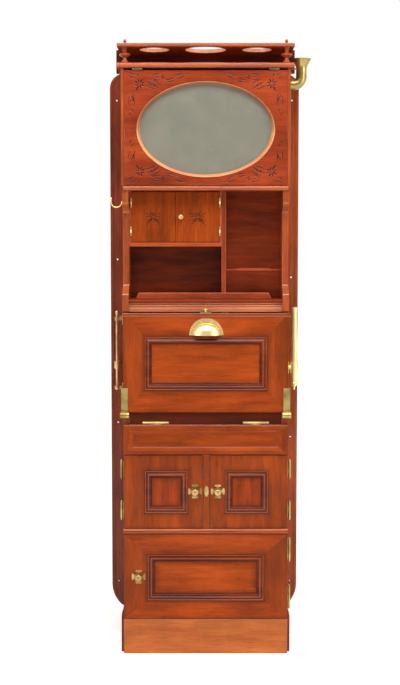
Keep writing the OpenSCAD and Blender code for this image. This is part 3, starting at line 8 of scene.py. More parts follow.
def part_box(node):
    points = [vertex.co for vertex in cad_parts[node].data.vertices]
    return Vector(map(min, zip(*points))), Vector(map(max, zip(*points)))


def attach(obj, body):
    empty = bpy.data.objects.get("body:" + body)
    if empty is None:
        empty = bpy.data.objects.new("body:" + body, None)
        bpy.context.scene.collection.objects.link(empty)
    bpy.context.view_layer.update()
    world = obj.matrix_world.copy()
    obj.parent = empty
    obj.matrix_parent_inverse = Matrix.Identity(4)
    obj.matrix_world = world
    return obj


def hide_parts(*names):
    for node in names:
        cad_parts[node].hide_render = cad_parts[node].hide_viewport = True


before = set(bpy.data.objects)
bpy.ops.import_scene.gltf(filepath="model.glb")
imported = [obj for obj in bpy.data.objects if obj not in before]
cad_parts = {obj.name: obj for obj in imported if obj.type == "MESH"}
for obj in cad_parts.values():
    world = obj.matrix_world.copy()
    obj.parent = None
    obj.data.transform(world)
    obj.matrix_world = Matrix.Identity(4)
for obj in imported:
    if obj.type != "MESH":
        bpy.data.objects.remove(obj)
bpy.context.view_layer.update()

# The studio: a white floor that keeps the shadow, a white room, soft lamps above, at the sides
# and low in front, and behind the camera a grey wall for the brass to mirror. The camera stands
# 3.9 m away at chest height and looks a little down.


def tint(code):
    """A colour written as sRGB hex, in the linear numbers that the shaders use."""
    parts = [int(code[i : i + 2], 16) / 255 for i in (0, 2, 4)]
    return [p / 12.92 if p <= 0.04045 else ((p + 0.055) / 1.055) ** 2.4 for p in parts] + [1]


def add(tree, kind, props={}, ins={}):
    """Adds a node, with its settings, and its inputs as numbers or as links."""
    node = tree.nodes.new("ShaderNode" + kind)
    for name, value in props.items():
        setattr(node, name, value)
    for name, value in ins.items():
        if isinstance(value, bpy.types.NodeSocket):
            tree.links.new(value, node.inputs[name])
        else:
            node.inputs[name].default_value = value
    return node


def blank(name):
    """A new material with an empty node tree."""
    made = bpy.data.materials.new(name)
    made.use_nodes = True
    made.node_tree.nodes.clear()
    return made, made.node_tree


def in_view(tree):
    """1 for what the camera sees, in a mirror or through glass too, and 0 for other light."""
    path = add(tree, "LightPath")
    seen = path.outputs["Is Camera Ray"]
    for ray in ["Is Transmission Ray", "Is Glossy Ray"]:
        seen = add(tree, "Math", {"operation": "MAXIMUM"}, {0: seen, 1: path.outputs[ray]})
        seen = seen.outputs[0]
    return seen


scene = bpy.context.scene
scene.view_settings.view_transform = "Standard"

camera = bpy.data.objects.new("camera", bpy.data.cameras.new("camera"))
scene.collection.objects.link(camera)
camera.data.sensor_width = 36
camera.data.lens = 68.6
camera.data.clip_end = 50
camera.location = (-0.017, -3.915, 1.2474)
camera.rotation_euler = (math.radians(90 - 4.27), 0, 0)
scene.camera = camera

warm_white = tint("F4F1EC")
world = bpy.data.worlds.new("white_room")
scene.world = world
world.use_nodes = True
sky = world.node_tree
sky.nodes.clear()
room = add(sky, "Background", {}, {"Color": warm_white, "Strength": 0.27})
white = add(sky, "Background", {}, {"Color": (1, 1, 1, 1), "Strength": 1.0})
both = add(sky, "MixShader", {}, {0: in_view(sky), 1: room.outputs[0], 2: white.outputs[0]})
add(sky, "OutputWorld", {}, {"Surface": both.outputs[0]})

for name, place, target, size, power in [
        ("lamp_left", (-2.5, -1.9, 1.9), (0, 0, 1.0), (1.0, 2.4), 23),
        ("lamp_right", (2.5, -1.8, 1.9), (0, 0, 1.0), (1.0, 2.4), 31),
        ("lamp_above", (0.0, -2.0, 3.7), (0, 0, 1.0), (2.6, 1.5), 92),
        ("lamp_low", (0.0, -3.4, 0.7), (0, 0, 0.6), (2.4, 0.6), 22)]:
    light = bpy.data.lights.new(name, "AREA")
    light.shape, light.size, light.size_y, light.energy = "RECTANGLE", size[0], size[1], power
    lamp = bpy.data.objects.new(name, light)
    scene.collection.objects.link(lamp)
    lamp.location = place
    lamp.rotation_euler = (Vector(target) - Vector(place)).to_track_quat("-Z", "Y").to_euler()
    lamp.visible_glossy = name != "lamp_low"

# matt paint that glows more with distance, so that the floor fades into the white room
paper, tree = blank("white_painted_studio_floor")
away = add(tree, "VectorMath", {"operation": "LENGTH"},
           {0: add(tree, "TexCoord").outputs["Object"]})
far = add(tree, "MapRange", {}, {"Value": away.outputs["Value"], "From Min": 0.4,
                                 "From Max": 1.5, "To Min": 0.55, "To Max": 0.85})
glow = add(tree, "Math", {"operation": "MULTIPLY"}, {0: in_view(tree), 1: far.outputs[0]})
matt = add(tree, "BsdfDiffuse", {}, {"Color": tint("F2F0EC")})
lift = add(tree, "Emission", {}, {"Color": (1, 1, 1, 1), "Strength": glow.outputs[0]})
total = add(tree, "AddShader", {}, {0: matt.outputs[0], 1: lift.outputs[0]})
add(tree, "OutputMaterial", {}, {"Surface": total.outputs[0]})
# an even mid grey, which gives the brass its middle tone
grey, tree = blank("grey_painted_wall")
wall = add(tree, "Emission", {}, {"Color": warm_white, "Strength": 0.34})
add(tree, "OutputMaterial", {}, {"Surface": wall.outputs[0]})
upright_turn = Matrix.Rotation(math.radians(90), 4, "X")
for name, finish, size, turn in [
        ("studio_floor", paper, 30, Matrix.Identity(4)),
        ("grey_wall", grey, 2.6, Matrix.Translation((0, -4.7, 1.4)) @ upright_turn)]:
    bm = bmesh.new()
    bmesh.ops.create_grid(bm, x_segments=1, y_segments=1, size=size, matrix=turn)
    mesh = bpy.data.meshes.new(name)
    bm.to_mesh(mesh)
    bm.free()
    mesh.materials.append(finish)
    stage = bpy.data.objects.new(name, mesh)
    scene.collection.objects.link(stage)
    stage.visible_camera = name != "grey_wall"

# The sides: Cuban mahogany boards with shaped front edges, planed, stained red-brown and French
# polished. Like all boards here they have a streaky grain, dark pores and patches of stain.


def mahogany(name, pale, deep, run, gloss=0.22, seed=0.0, coat=0.04, shine=0.1):
    """French-polished mahogany, its grain along X, Y or Z."""
    wood, tree = blank(name)
    place = add(tree, "TexCoord").outputs["Object"]
    along = "XYZ".index(run)

    def stretched(across, length):
        size = [across] * 3
        size[along] = length
        return add(tree, "Mapping", {}, {"Vector": place, "Scale": size,
                                         "Location": (seed, seed * 1.7, seed * 0.6)}).outputs[0]

    def noise(where, detail, rough=0.5):
        return add(tree, "TexNoise", {}, {"Vector": where, "Scale": 1.0, "Detail": detail,
                                          "Roughness": rough}).outputs["Fac"]

    def ranged(value, low, high, to_low, to_high):
        return add(tree, "MapRange", {}, {"Value": value, "From Min": low, "From Max": high,
                                          "To Min": to_low, "To Max": to_high}).outputs[0]

    def times(colour, factor, amount=1.0):
        mix = add(tree, "Mix", {"data_type": "RGBA", "blend_type": "MULTIPLY"},
                  {0: amount, 6: colour, 7: factor})
        return mix.outputs[2]

    # figure: soft streaks about 20 mm wide and 150 mm long, bent a little
    wave = add(tree, "TexNoise", {}, {"Vector": place, "Scale": 3.1, "Detail": 2.0})
    bend = add(tree, "VectorMath", {"operation": "SCALE"},
               {0: wave.outputs["Color"], "Scale": 0.8})
    bent = add(tree, "VectorMath", {"operation": "ADD"},
               {0: stretched(44, 6.5), 1: bend.outputs[0]})
    figure = noise(bent.outputs[0], 6.0, 0.6)
    # patches of stain, a hand's breadth across
    cloud = noise(stretched(7, 4.5), 2.0)
    # fibres about 2.4 mm wide, and pores about 1.4 mm wide, coarser than real ones, to show
    fibre = noise(stretched(420, 9), 3.0)
    pores = noise(stretched(700, 30), 2.0)
    streak = add(tree, "ValToRGB", {}, {"Fac": figure})
    ends = streak.color_ramp.elements
    ends[0].position, ends[0].color = 0.26, tint(deep)
    ends[1].position, ends[1].color = 0.68, tint(pale)
    shade = times(streak.outputs["Color"], ranged(cloud, 0.3, 0.7, 0.74, 1.2))
    shade = times(shade, ranged(fibre, 0.35, 0.65, 0.88, 1.08))
    shade = times(shade, ranged(pores, 0.32, 0.46, 0.55, 1.0), 0.6)
    # old polish gone dark, and painted shade, by an attribute that the piece sets
    grime_and_shade = add(tree, "Attribute", {"attribute_name": "shade_and_patina"}).outputs["Fac"]
    shade = times(shade, ranged(grime_and_shade, 0.0, 1.0, 1.0, 0.45))
    # the carver's cuts: dark at the bottom, with wax and painted shade, and paler along
    # their edges as painted highlight
    cut_shade_and_highlight = add(tree, "Attribute", {"attribute_name": "cut"}).outputs["Fac"]
    carved = add(tree, "ValToRGB", {}, {"Fac": cut_shade_and_highlight})
    stops = carved.color_ramp.elements
    stops[0].color = (1, 1, 1, 1)
    stops[1].position, stops[1].color = 0.85, (0.2, 0.2, 0.2, 1)
    for where, value in [(0.1, 1.0), (0.25, 1.25), (0.5, 0.55)]:
        stops.new(where).color = (value, value, value, 1)
    shade = times(shade, carved.outputs["Color"])
    rough = ranged(fibre, 0.3, 0.7, gloss + 0.04, gloss - 0.03)
    dent = add(tree, "Bump", {}, {"Height": pores, "Strength": 0.15, "Distance": 0.0003})
    body = add(tree, "BsdfPrincipled", {}, {
        "Base Color": shade, "Roughness": rough, "IOR": 1.5, "Specular IOR Level": shine,
        "Coat Weight": coat, "Coat Roughness": 0.08, "Normal": dent.outputs[0]})
    add(tree, "OutputMaterial", {}, {"Surface": body.outputs[0]})
    return wood


def solid(node):
    """A merged copy of a CAD node's mesh, with each flat side in one piece."""
    bm = bmesh.new()
    bm.from_mesh(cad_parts[node].data)
    bmesh.ops.remove_doubles(bm, verts=bm.verts, dist=0.00001)
    bmesh.ops.recalc_face_normals(bm, faces=bm.faces)
    bmesh.ops.dissolve_limit(bm, angle_limit=math.radians(1), verts=bm.verts, edges=bm.edges)
    return bm


def soften(bm, width, over=40):
    """Rounds the edges that are sharper than an angle."""
    sharp = [e for e in bm.edges if len(e.link_faces) == 2
             and e.calc_face_angle() > math.radians(over)]
    bmesh.ops.bevel(bm, geom=sharp, offset=width, segments=2, profile=0.5, affect="EDGES",
                    material=-1, clamp_overlap=True)


def slanting(face):
    """True for a face square to none of the axes, as on a rounded edge."""
    return max(map(abs, face.normal)) < 0.97


def piece(name, bm, body, finishes, nodes=(), crease=40):
    """Makes a mesh a finished piece that rides on a body and stands for CAD nodes.

    Its large faces keep their own normals, so that they look flat beside the rounded edges.
    """
    mesh = bpy.data.meshes.new(name)
    bm.to_mesh(mesh)
    bm.free()
    mesh.set_sharp_from_angle(angle=math.radians(crease))
    for face in mesh.polygons:
        face.use_smooth = face.area < 0.0004 or max(map(abs, face.normal)) < 0.99999
    for finish in finishes:
        mesh.materials.append(finish)
    made = bpy.data.objects.new(name, mesh)
    scene.collection.objects.link(made)
    flats = made.modifiers.new("flats", "WEIGHTED_NORMAL")
    flats.keep_sharp = True
    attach(made, body)
    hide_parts(*nodes)


def board(node, finish, width, slot="mahogany"):
    """A board of the carcass with rounded edges, which get painted highlight where it shows."""
    bm = solid(node)
    soften(bm, width)
    for face in bm.faces:
        if slanting(face) and slot == "mahogany":
            face.material_index = 1
    piece(node + "_board", bm, "carcass", [finish, arris], [node])


# bright thin lines along the edges: a paler, glossy finish as painted highlight
arris = mahogany("arrises_painted_highlight", "BC5A20", "9C421A", "X", gloss=0.2, seed=1.9, coat=0.4,
                 shine=0.3)
# a calm brown with some shine, seen at a low angle
side_wood = mahogany("polished_mahogany_sides", "B0542A", "88381E", "Z", seed=4.1, coat=0.15)
for node in ["side_left", "side_right"]:
    board(node, side_wood, 0.0025)

# The shelves and the divider of the small cupboard: thinner boards of the same mahogany, housed
# in grooves in the sides and in each other.

# front edges that catch the light
shelf_wood = mahogany("polished_mahogany_shelves", "B6501E", "8E3A16", "X", seed=7.1, coat=0.22,
                      shine=0.25)
# a darker red, upright
divider_wood = mahogany("polished_mahogany_divider", "9E4420", "783014", "Z", seed=2.7)
for node in ["mid_shelf", "cupboard_shelf"]:
    board(node, shelf_wood, 0.0008)
board("divider", divider_wood, 0.0012)

# The rails, the muntin and the apron of the front: mahogany lengths fitted between the sides.
# The moulded front rail is painted palest, as painted highlight on its rounds.

# level streaks, the main red-brown of the front
across = mahogany("polished_mahogany_cross_grain", "AE470F", "80300C", "X", seed=2.3)
# the same brown with upright streaks, a shade deeper
upright = mahogany("polished_mahogany_upright_grain", "A24310", "78300C", "Z")
# a pale stripe under the open compartment: painted highlight on the rail
rail_wood = mahogany("front_rail_painted_highlight", "E08A5A", "B8623E", "X", seed=7.7, coat=0.3,
                     shine=0.3)
# a dark band under the rail: painted shade beneath the fall
apron_wood = mahogany("apron_painted_shade", "5E1E06", "3A1004", "X", seed=5.7)
for node, finish, width in [("front_rail", rail_wood, 0.0005), ("mid_rail", across, 0.0006),
                            ("muntin", upright, 0.0010), ("apron_board", apron_wood, 0.0010)]:
    board(node, finish, width)

# The boards inside: floors, a head rail and the panel in front of the supply pipe, of mahogany
# that was oiled and not polished, darkened as painted shade. The panel's left part, under the
# small cupboard, is darker still, as painted deep shade.


def slice_all(bm, place, normal):
    """Cuts all faces along a plane, so that each side can have its own finish."""
    bmesh.ops.bisect_plane(bm, geom=bm.verts[:] + bm.edges[:] + bm.faces[:],
                           plane_co=place, plane_no=normal)


def slice_at(bm, axis, value):
    """Cuts all faces square to an axis (0 for x, 2 for z)."""
    place, normal = Vector((0, 0, 0)), Vector((0, 0, 0))
    place[axis], normal[axis] = value, 1
    slice_all(bm, place, normal)


# a dull brown, darkened as painted shade
inner = mahogany("oiled_mahogany_inside_painted_shade", "923710", "66220A", "X", gloss=0.35, seed=8.0, coat=0)
# nearly black: painted deep shade
inner_dark = mahogany("inside_painted_deep_shade", "6E2608", "3E1204", "X", gloss=0.35, seed=8.8,
                      coat=0)
for node, width in [("compartment_floor", 0.0010), ("door_head_rail", 0.0010),
                    ("cupboard_floor", 0.0008)]:
    board(node, inner, width, "mahogany_inner")
deep_shade_edge = 0.05
bm = solid("service_panel")
slice_at(bm, 0, deep_shade_edge)
# the part left of the edge gets the painted deep shade
for face in bm.faces:
    face.material_index = face.calc_center_median().x < deep_shade_edge
soften(bm, 0.0006)
piece("service_panel_board", bm, "carcass", [inner, inner_dark],
      ["service_panel"])

# The back board that screws to the bulkhead: two jointed planks, the right one paler, with a
# worked bead along the edge and countersunk screw holes. A strip above it closes the gallery.

# brown, darkened as painted shade from the cabinet in front of it
back_wood = mahogany("back_board_painted_shade", "8C4028", "64281A", "Z", seed=6.2, coat=0.15)
# the right plank, a paler brown
back_pale = mahogany("paler_polished_back_board", "B6582E", "8E3E20", "Z", seed=6.6, coat=0.15)
plank_joint = 0
# the gallery's back strip is painted deep shade on both planks
for node, left_plank, right_plank in [("back_board", back_wood, back_pale),
                                      ("gallery_back", inner_dark, inner_dark)]:
    bm = solid(node)
    slice_at(bm, 0, plank_joint)
    for face in bm.faces:
        face.material_index = face.calc_center_median().x > plank_joint
    soften(bm, 0.001)
    piece(node + "_planks", bm, "carcass", [left_plank, right_plank], [node])

# The plinth, a mahogany box that the cabinet stands on, and the skirtings beside it, planted on
# the back board. Sun has faded the plinth to a pale orange.

# dry and pale, with little gloss
faded = mahogany("sun_faded_mahogany_plinth", "C87038", "AE5628", "X", gloss=0.3, seed=9.4,
                 coat=0.1)
board("plinth", faded, 0.0015)
board("side_skirtings", back_wood, 0.0012)

# The bottle gallery: two shelves with rounded fronts, the upper one bored for tumblers, held
# apart by two turned spindles, each with a small finial that stands on the top shelf.


def turned(bm, profile, place, way="Z", steps=32):
    """Adds a turned shape: (radius, height) pairs in mm, spun about an axis through a place."""
    lathe = bmesh.new()
    verts = [lathe.verts.new((r / 1000, 0, h / 1000)) for r, h in profile]
    edges = [lathe.edges.new(pair) for pair in zip(verts, verts[1:])]
    bmesh.ops.spin(lathe, geom=verts + edges, axis=(0, 0, 1), cent=(0, 0, 0), angle=math.tau,
                   steps=steps, use_merge=True)
    bmesh.ops.remove_doubles(lathe, verts=lathe.verts, dist=0.000001)
    bmesh.ops.recalc_face_normals(lathe, faces=lathe.faces)
    aim = {"Z": Matrix.Identity(4), "X": Matrix.Rotation(math.radians(90), 4, "Y"),
           "-Y": upright_turn}[way]
    mesh = bpy.data.meshes.new("turning")
    lathe.to_mesh(mesh)
    lathe.free()
    mesh.transform(Matrix.Translation(Vector(place) / 1000) @ aim)
    bm.from_mesh(mesh)
    bpy.data.meshes.remove(mesh)


def mid(points, axis):
    """The middle of what points span along an axis, in mm."""
    values = [p[axis] for p in points]
    return round((min(values) + max(values)) * 500, 3)


def span(points, axis):
    """How far points reach along an axis, in mm."""
    values = [p[axis] for p in points]
    return round((max(values) - min(values)) * 1000, 3)


# pale bore walls: painted light in the holes
bored = mahogany("bore_walls_painted_light", "DC9C7C", "C07858", "Z", seed=3.3, shine=0.5)
bores_within = 0.25
for node in ["gallery_top_shelf", "gallery_lower_shelf"]:
    bm = solid(node)
    for face in bm.faces:
        at = face.calc_center_median()
        if abs(face.normal.z) < 0.1 and at.y > 0 and abs(at.x) < bores_within:
            face.material_index = 1
        elif 0.1 < abs(face.normal.z) < 0.97:
            face.material_index = 2
    soften(bm, 0.0008)
    piece(node + "_board", bm, "carcass", [shelf_wood, bored, arris], [node])

spindle = [(0, 0), (10.6, 0), (10.8, 1.2), (10.2, 3.2), (8.6, 5), (7.2, 7.6), (6.0, 10.4),
           (5.2, 13), (4.9, 15), (5.6, 16.2), (7.4, 17.2), (10.5, 18.6), (13.8, 20.4),
           (16, 22.4), (17, 24.4), (16.2, 26.4), (13.6, 28.2), (9.4, 29.8), (6.4, 31.2),
           (5.2, 33), (4.9, 35.4), (5.6, 37.2), (7.4, 38.4), (7.8, 39.8), (7.0, 41.2),
           (6.4, 42.6), (7.2, 44.2), (7.2, 45.7), (0, 45.7)]
finial = [(0, 0), (3.6, 0), (3.6, 0.9), (2.4, 2), (2.5, 3.2), (4.2, 4.6), (5, 6.6), (4.8, 8.6),
          (3.7, 10.6), (2.2, 12.2), (0.9, 13.3), (0, 13.5)]
spindle_out, lower_top, upper_top = 240, 1786.05, 1843.05
spindle_y = mid(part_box("gallery_spindles"), 1)
bm = bmesh.new()
for x in (-spindle_out, spindle_out):
    turned(bm, spindle, (x, spindle_y, lower_top))
    turned(bm, finial, (x, spindle_y, upper_top))
piece("gallery_turned_spindles", bm, "carcass", [shelf_wood], ["gallery_spindles"])

# The fiddle rail, a low board with slanting ends, stands on the compartment's floor. Across the
# right compartment runs a turned bottle rail: thin ends, a ring each side and a thicker middle.


def islands(bm):
    """The faces of each separate shell."""
    found, left = [], set(bm.faces)
    while left:
        shell, todo = [], [left.pop()]
        while todo:
            face = todo.pop()
            shell.append(face)
            near = {f for e in face.edges for f in e.link_faces} & left
            left -= near
            todo.extend(near)
        found.append(shell)
    return found


def points_of(shell):
    """The corners of a shell's faces."""
    return [v.co.copy() for face in shell for v in face.verts]


# a cooler red than the front's boards
mirror_wood = mahogany("polished_mahogany_mirror_frame", "A64422", "802E18", "X", seed=1.1)
between_rails = 1.12
bm = solid("fiddle_rails")
for shell in islands(bm):
    points = points_of(shell)
    if min(p.z for p in points) > between_rails:
        rail_length = span(points, 0)
        rail_start = (mid(points, 0) - rail_length / 2, mid(points, 1), mid(points, 2))
        bmesh.ops.delete(bm, geom=shell, context="FACES")
soften(bm, 0.0015)
for face in bm.faces:
    face.material_index = slanting(face)
piece("fiddle_rail_board", bm, "carcass", [mirror_wood, arris], ["fiddle_rails"])
half = [(0, 0.2), (3, 0.2), (3, 24), (4.2, 25), (4.9, 26.6), (4.2, 28.2), (3.2, 29.4), (3.4, 31),
        (4.6, 33), (5.5, 37), (6, 46), (6, rail_length / 2)]
other_half = [(r, rail_length - h) for r, h in reversed(half[:-1])]
bm = bmesh.new()
turned(bm, half + other_half, rail_start, "X")
piece("turned_bottle_rail", bm, "carcass", [mirror_wood])

# The mirror door: a mahogany board with an oval window. Its corners are carved, each with a
# rosette of eight chips and leafy stems, given as places in mm from the rosette: first inwards
# along the door's width, then away from the middle of its height.


def chips(strokes, deep):
    """Depth in metres at a place of V cuts, each a curved leaf between two points in mm."""
    made = []
    for x0, z0, x1, z1, bow, wide in strokes:
        long = math.hypot(x1 - x0, z1 - z0)
        made.append((x0, z0, (x1 - x0) / long, (z1 - z0) / long, long, bow, wide))

    def depth(x, z):
        low = 0.0
        for x0, z0, dx, dz, long, bow, wide in made:
            s = ((x - x0) * dx + (z - z0) * dz) / long
            if 0 < s < 1:
                belly = 4 * s * (1 - s)
                off = abs((z - z0) * dx - (x - x0) * dz - bow * belly)
                half = wide * belly ** 0.7
                if off < half:
                    low = max(low, deep / 1000 * (1 - off / half) * min(1, half / wide + 0.2))
        return low

    return depth


def carve(bm, across_x, up_z, y, depth, pitch, keep=None):
    """Takes a rectangle out of the flat front at depth y and puts a finely cut one there."""
    cut = bm.verts.layers.float.get("cut") or bm.verts.layers.float.new("cut")

    def front():
        return [f for f in bm.faces if f.normal.y < -0.99
                and all(abs(v.co.y - y) < 0.00002 for v in f.verts)]

    for axis, value in [(0, across_x[0]), (0, across_x[1]), (2, up_z[0]), (2, up_z[1])]:
        flat = front()
        edges = {e for f in flat for e in f.edges}
        verts = {v for f in flat for v in f.verts}
        co, no = Vector((0, 0, 0)), Vector((0, 0, 0))
        co[axis], no[axis] = value, 1
        bmesh.ops.bisect_plane(bm, geom=flat + list(edges) + list(verts), plane_co=co,
                               plane_no=no)
    gone = [f for f in front() if across_x[0] < f.calc_center_median().x < across_x[1]
            and up_z[0] < f.calc_center_median().z < up_z[1]]
    bmesh.ops.delete(bm, geom=gone, context="FACES_ONLY")
    wide, high = across_x[1] - across_x[0], up_z[1] - up_z[0]
    centre = ((across_x[0] + across_x[1]) / 2, y, (up_z[0] + up_z[1]) / 2)
    place = (Matrix.Translation(centre) @ upright_turn
             @ Matrix.Diagonal((wide / 2, high / 2, 1, 1)))
    new = bmesh.ops.create_grid(bm, x_segments=round(wide / pitch), y_segments=round(high / pitch),
                                size=1, matrix=place)["verts"]
    for v in new:
        v[cut] = depth(v.co.x * 1000, v.co.z * 1000)
        v.co.y += v[cut]
        v[cut] = min(1.0, v[cut] * 900)
    if keep:
        bmesh.ops.delete(bm, geom=[v for v in new if not keep(v.co)], context="VERTS")


corner = []
for k in range(8):
    a = (k + 0.3) * math.pi / 4
    reach = 25 if k == 5 else 18 if k % 2 else 15
    corner.append((3 * math.cos(a), 3 * math.sin(a), reach * math.cos(a), reach * math.sin(a), 1,
                   3.1))
# the rosette's eye, the stem along the long edge, the one towards the oval, the one at the
# side, and last the leaves in the corner
corner += [(0, -1.6, 0, 1.6, 0, 1.6), (34, 20, 63, 28, 5, 2.1), (34, 20, 63, 13, -5, 2.1),
           (40, 20, 60, 21, 1, 1.5), (63, 17, 71, 27, 1, 2.2), (67, 12, 74, 22, 1, 2.2),
           (72, 12, 103, 21, -3, 2.1), (103, 21, 135, 31, 3, 2.1), (78, 8, 106, 12, -3, 1.8),
           (106, 12, 135, 28, -3, 1.8), (134, 31, 152, 24, 2, 1.6),
           (15, 5, 59, -17, 5, 2.3), (17, -3, 50, -15, -3, 2.1), (27, 13, 63, -8, 5, 2.0),
           (30, 3, 36, -8, 0, 1.4), (39, 0, 45, -11, 0, 1.4), (48, -5, 53, -14, 0, 1.4),
           (-29, -30, -14, -66, 3, 2.1), (-31, -32, -30, -64, -2, 1.9),
           (-21, -26, -19, -58, 3, 1.9), (-30, -40, -20, -36, 0, 1.4),
           (-29, -50, -18, -46, 0, 1.4), (-31, -75, -19, -84, 3, 1.9),
           (-31, -82, -23, -92, -3, 1.9), (-35, 32, -11, 24, 3, 2.1),
           (-35, 25, -15, 17, -2, 1.9), (-8, 31, -3, 23, 0, 1.9)]
leafy = chips(corner, 1.7)
rosette_out, rosette_up = 196, 129
carved_out, carved_up = (52, 238), (34, 165.5)
door_z = mid(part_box("mirror_frame"), 2)
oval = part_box("mirror_lip")
oval_wide, oval_tall, oval_z = span(oval, 0), span(oval, 2), mid(oval, 2)


def outside_oval(co):
    """True for a place that the oval lip doesn't cover."""
    across_share = co.x * 2000 / oval_wide
    up_share = (co.z * 1000 - oval_z) * 2 / oval_tall
    return across_share ** 2 + up_share ** 2 > 0.97


bm = solid("mirror_frame")
soften(bm, 0.0015)
for side in (-1, 1):
    for up in (-1, 1):
        carve(bm, sorted(side * out / 1000 for out in carved_out),
              sorted((door_z + up * high) / 1000 for high in carved_up), 0,
              lambda x, z: leafy(rosette_out - side * x, (z - door_z) * up - rosette_up),
              0.0011, outside_oval)
piece("mirror_door_board", bm, "mirror_door", [mirror_wood], ["mirror_frame"])

# The lip: an oval mahogany moulding, painted pale as light from above, that holds the mirror
# glass in its window. It goes darker towards the top, as painted shade.


def oval_ring(bm, profile, wide, high, height, steps=96):
    """Adds an oval moulding: (distance in from the outline, depth) pairs in mm."""
    half = [(Vector((wide / 2 - t, 1000, high / 2 - t)) / 1000, y / 1000) for t, y in profile]
    home = Matrix.Translation((0, 0, height / 1000))
    first = bmesh.ops.create_circle(bm, segments=steps, radius=1, matrix=home
                                    @ Matrix.Translation((0, half[0][1], 0))
                                    @ Matrix.Diagonal((*half[0][0], 1)) @ upright_turn)["verts"]
    ring = list({e for v in first for e in v.link_edges})
    for (old, y0), (new, y1) in zip(half, half[1:]):
        grown = bmesh.ops.extrude_edge_only(bm, edges=ring)["geom"]
        ring = [g for g in grown if isinstance(g, bmesh.types.BMEdge) and g.is_boundary]
        scale = Matrix.Diagonal((new.x / old.x, 1, new.z / old.z, 1))
        bmesh.ops.transform(bm, verts=[g for g in grown if isinstance(g, bmesh.types.BMVert)],
                            matrix=Matrix.Translation((0, y1 - y0, 0)) @ home @ scale
                            @ home.inverted())
    bmesh.ops.remove_doubles(bm, verts=bm.verts, dist=0.00001)
    bmesh.ops.recalc_face_normals(bm, faces=bm.faces)


# a pale ring round the glass: painted light
lip_wood = mahogany("mirror_lip_painted_light", "FFAA72", "E08850", "X", gloss=0.3, seed=4.6, coat=0.3,
                    shine=0.3)
lip = [(0.2, 14.2), (0.1, -0.6), (0.5, -1.7), (1.4, -2.4), (2.6, -2.5), (3.6, -2.0),
       (4.3, -1.0), (4.6, 0.2), (5.2, 2.0), (6.2, 5.2), (7.4, 8.6), (8.6, 11.6), (9.5, 13.4),
       (9.5, 14.2), (0.2, 14.2)]
bm = bmesh.new()
oval_ring(bm, lip, oval_wide, oval_tall, oval_z)
# painted shade, darker towards the top of the oval
shade_and_patina = bm.verts.layers.float.new("shade_and_patina")
for v in bm.verts:
    v[shade_and_patina] = min(1.3, max(0, (v.co.z - oval_z / 1000) / 0.06 + 0.4))
piece("oval_moulded_lip", bm, "mirror_door", [lip_wood], ["mirror_lip"])

# The mirror glass, silvered long ago: its grey-green is a painted reflection of a grey room,
# with faint foxing and a few pale specks. A thin oiled board closes the door behind it.
silver, tree = blank("silvered_glass_painted_reflection")
place = add(tree, "TexCoord").outputs["Object"]
fog = add(tree, "TexNoise", {}, {"Vector": place, "Scale": 17.0, "Detail": 6.0})
mist = add(tree, "MapRange", {}, {"Value": fog.outputs["Fac"], "From Min": 0.35,
                                  "From Max": 0.7})
speck = add(tree, "TexNoise", {}, {"Vector": place, "Scale": 210.0, "Detail": 1.0})
spots = add(tree, "MapRange", {}, {"Value": speck.outputs["Fac"], "From Min": 0.73,
                                   "From Max": 0.8})
colour = add(tree, "Mix", {"data_type": "RGBA"},
             {0: mist.outputs[0], 6: tint("79786A"), 7: tint("848072")})
spotted = add(tree, "Mix", {"data_type": "RGBA"},
              {0: spots.outputs[0], 6: colour.outputs[2], 7: tint("ACA89E")})
body = add(tree, "BsdfPrincipled", {}, {
    "Base Color": spotted.outputs[2], "Metallic": 0.12, "Roughness": 0.3, "Coat Weight": 0.6,
    "Coat Roughness": 0.02})
add(tree, "OutputMaterial", {}, {"Surface": body.outputs[0]})
bm = solid("mirror_glass")
piece("silvered_oval_glass", bm, "mirror_door", [silver], ["mirror_glass"])
bm = solid("mirror_backing")
soften(bm, 0.0008)
piece("mirror_back_panel", bm, "mirror_door", [inner], ["mirror_backing"])

# The two small cupboard doors: upright mahogany boards, a carved star of fine pointed chips in
# each, hung on small brass butt hinges whose barrels show at their outer edges.


def metal(name, bright, dull, rough, grain=24):
    """A metal whose colour and gloss vary softly over the surface."""
    alloy, tree = blank(name)
    place = add(tree, "TexCoord").outputs["Object"]
    cloud = add(tree, "TexNoise", {}, {"Vector": place, "Scale": grain, "Detail": 2.0})
    blend = add(tree, "MapRange", {}, {"Value": cloud.outputs["Fac"], "From Min": 0.35,
                                       "From Max": 0.68})
    colour = add(tree, "Mix", {"data_type": "RGBA"},
                 {0: blend.outputs[0], 6: tint(dull), 7: tint(bright)})
    gloss = add(tree, "MapRange", {}, {"Value": cloud.outputs["Fac"], "From Min": 0.3,
                                       "From Max": 0.7, "To Min": rough + 0.06, "To Max": rough})
    body = add(tree, "BsdfPrincipled", {}, {
        "Base Color": colour.outputs[2], "Metallic": 0.88, "Roughness": gloss.outputs[0]})
    add(tree, "OutputMaterial", {}, {"Surface": body.outputs[0]})
    return alloy


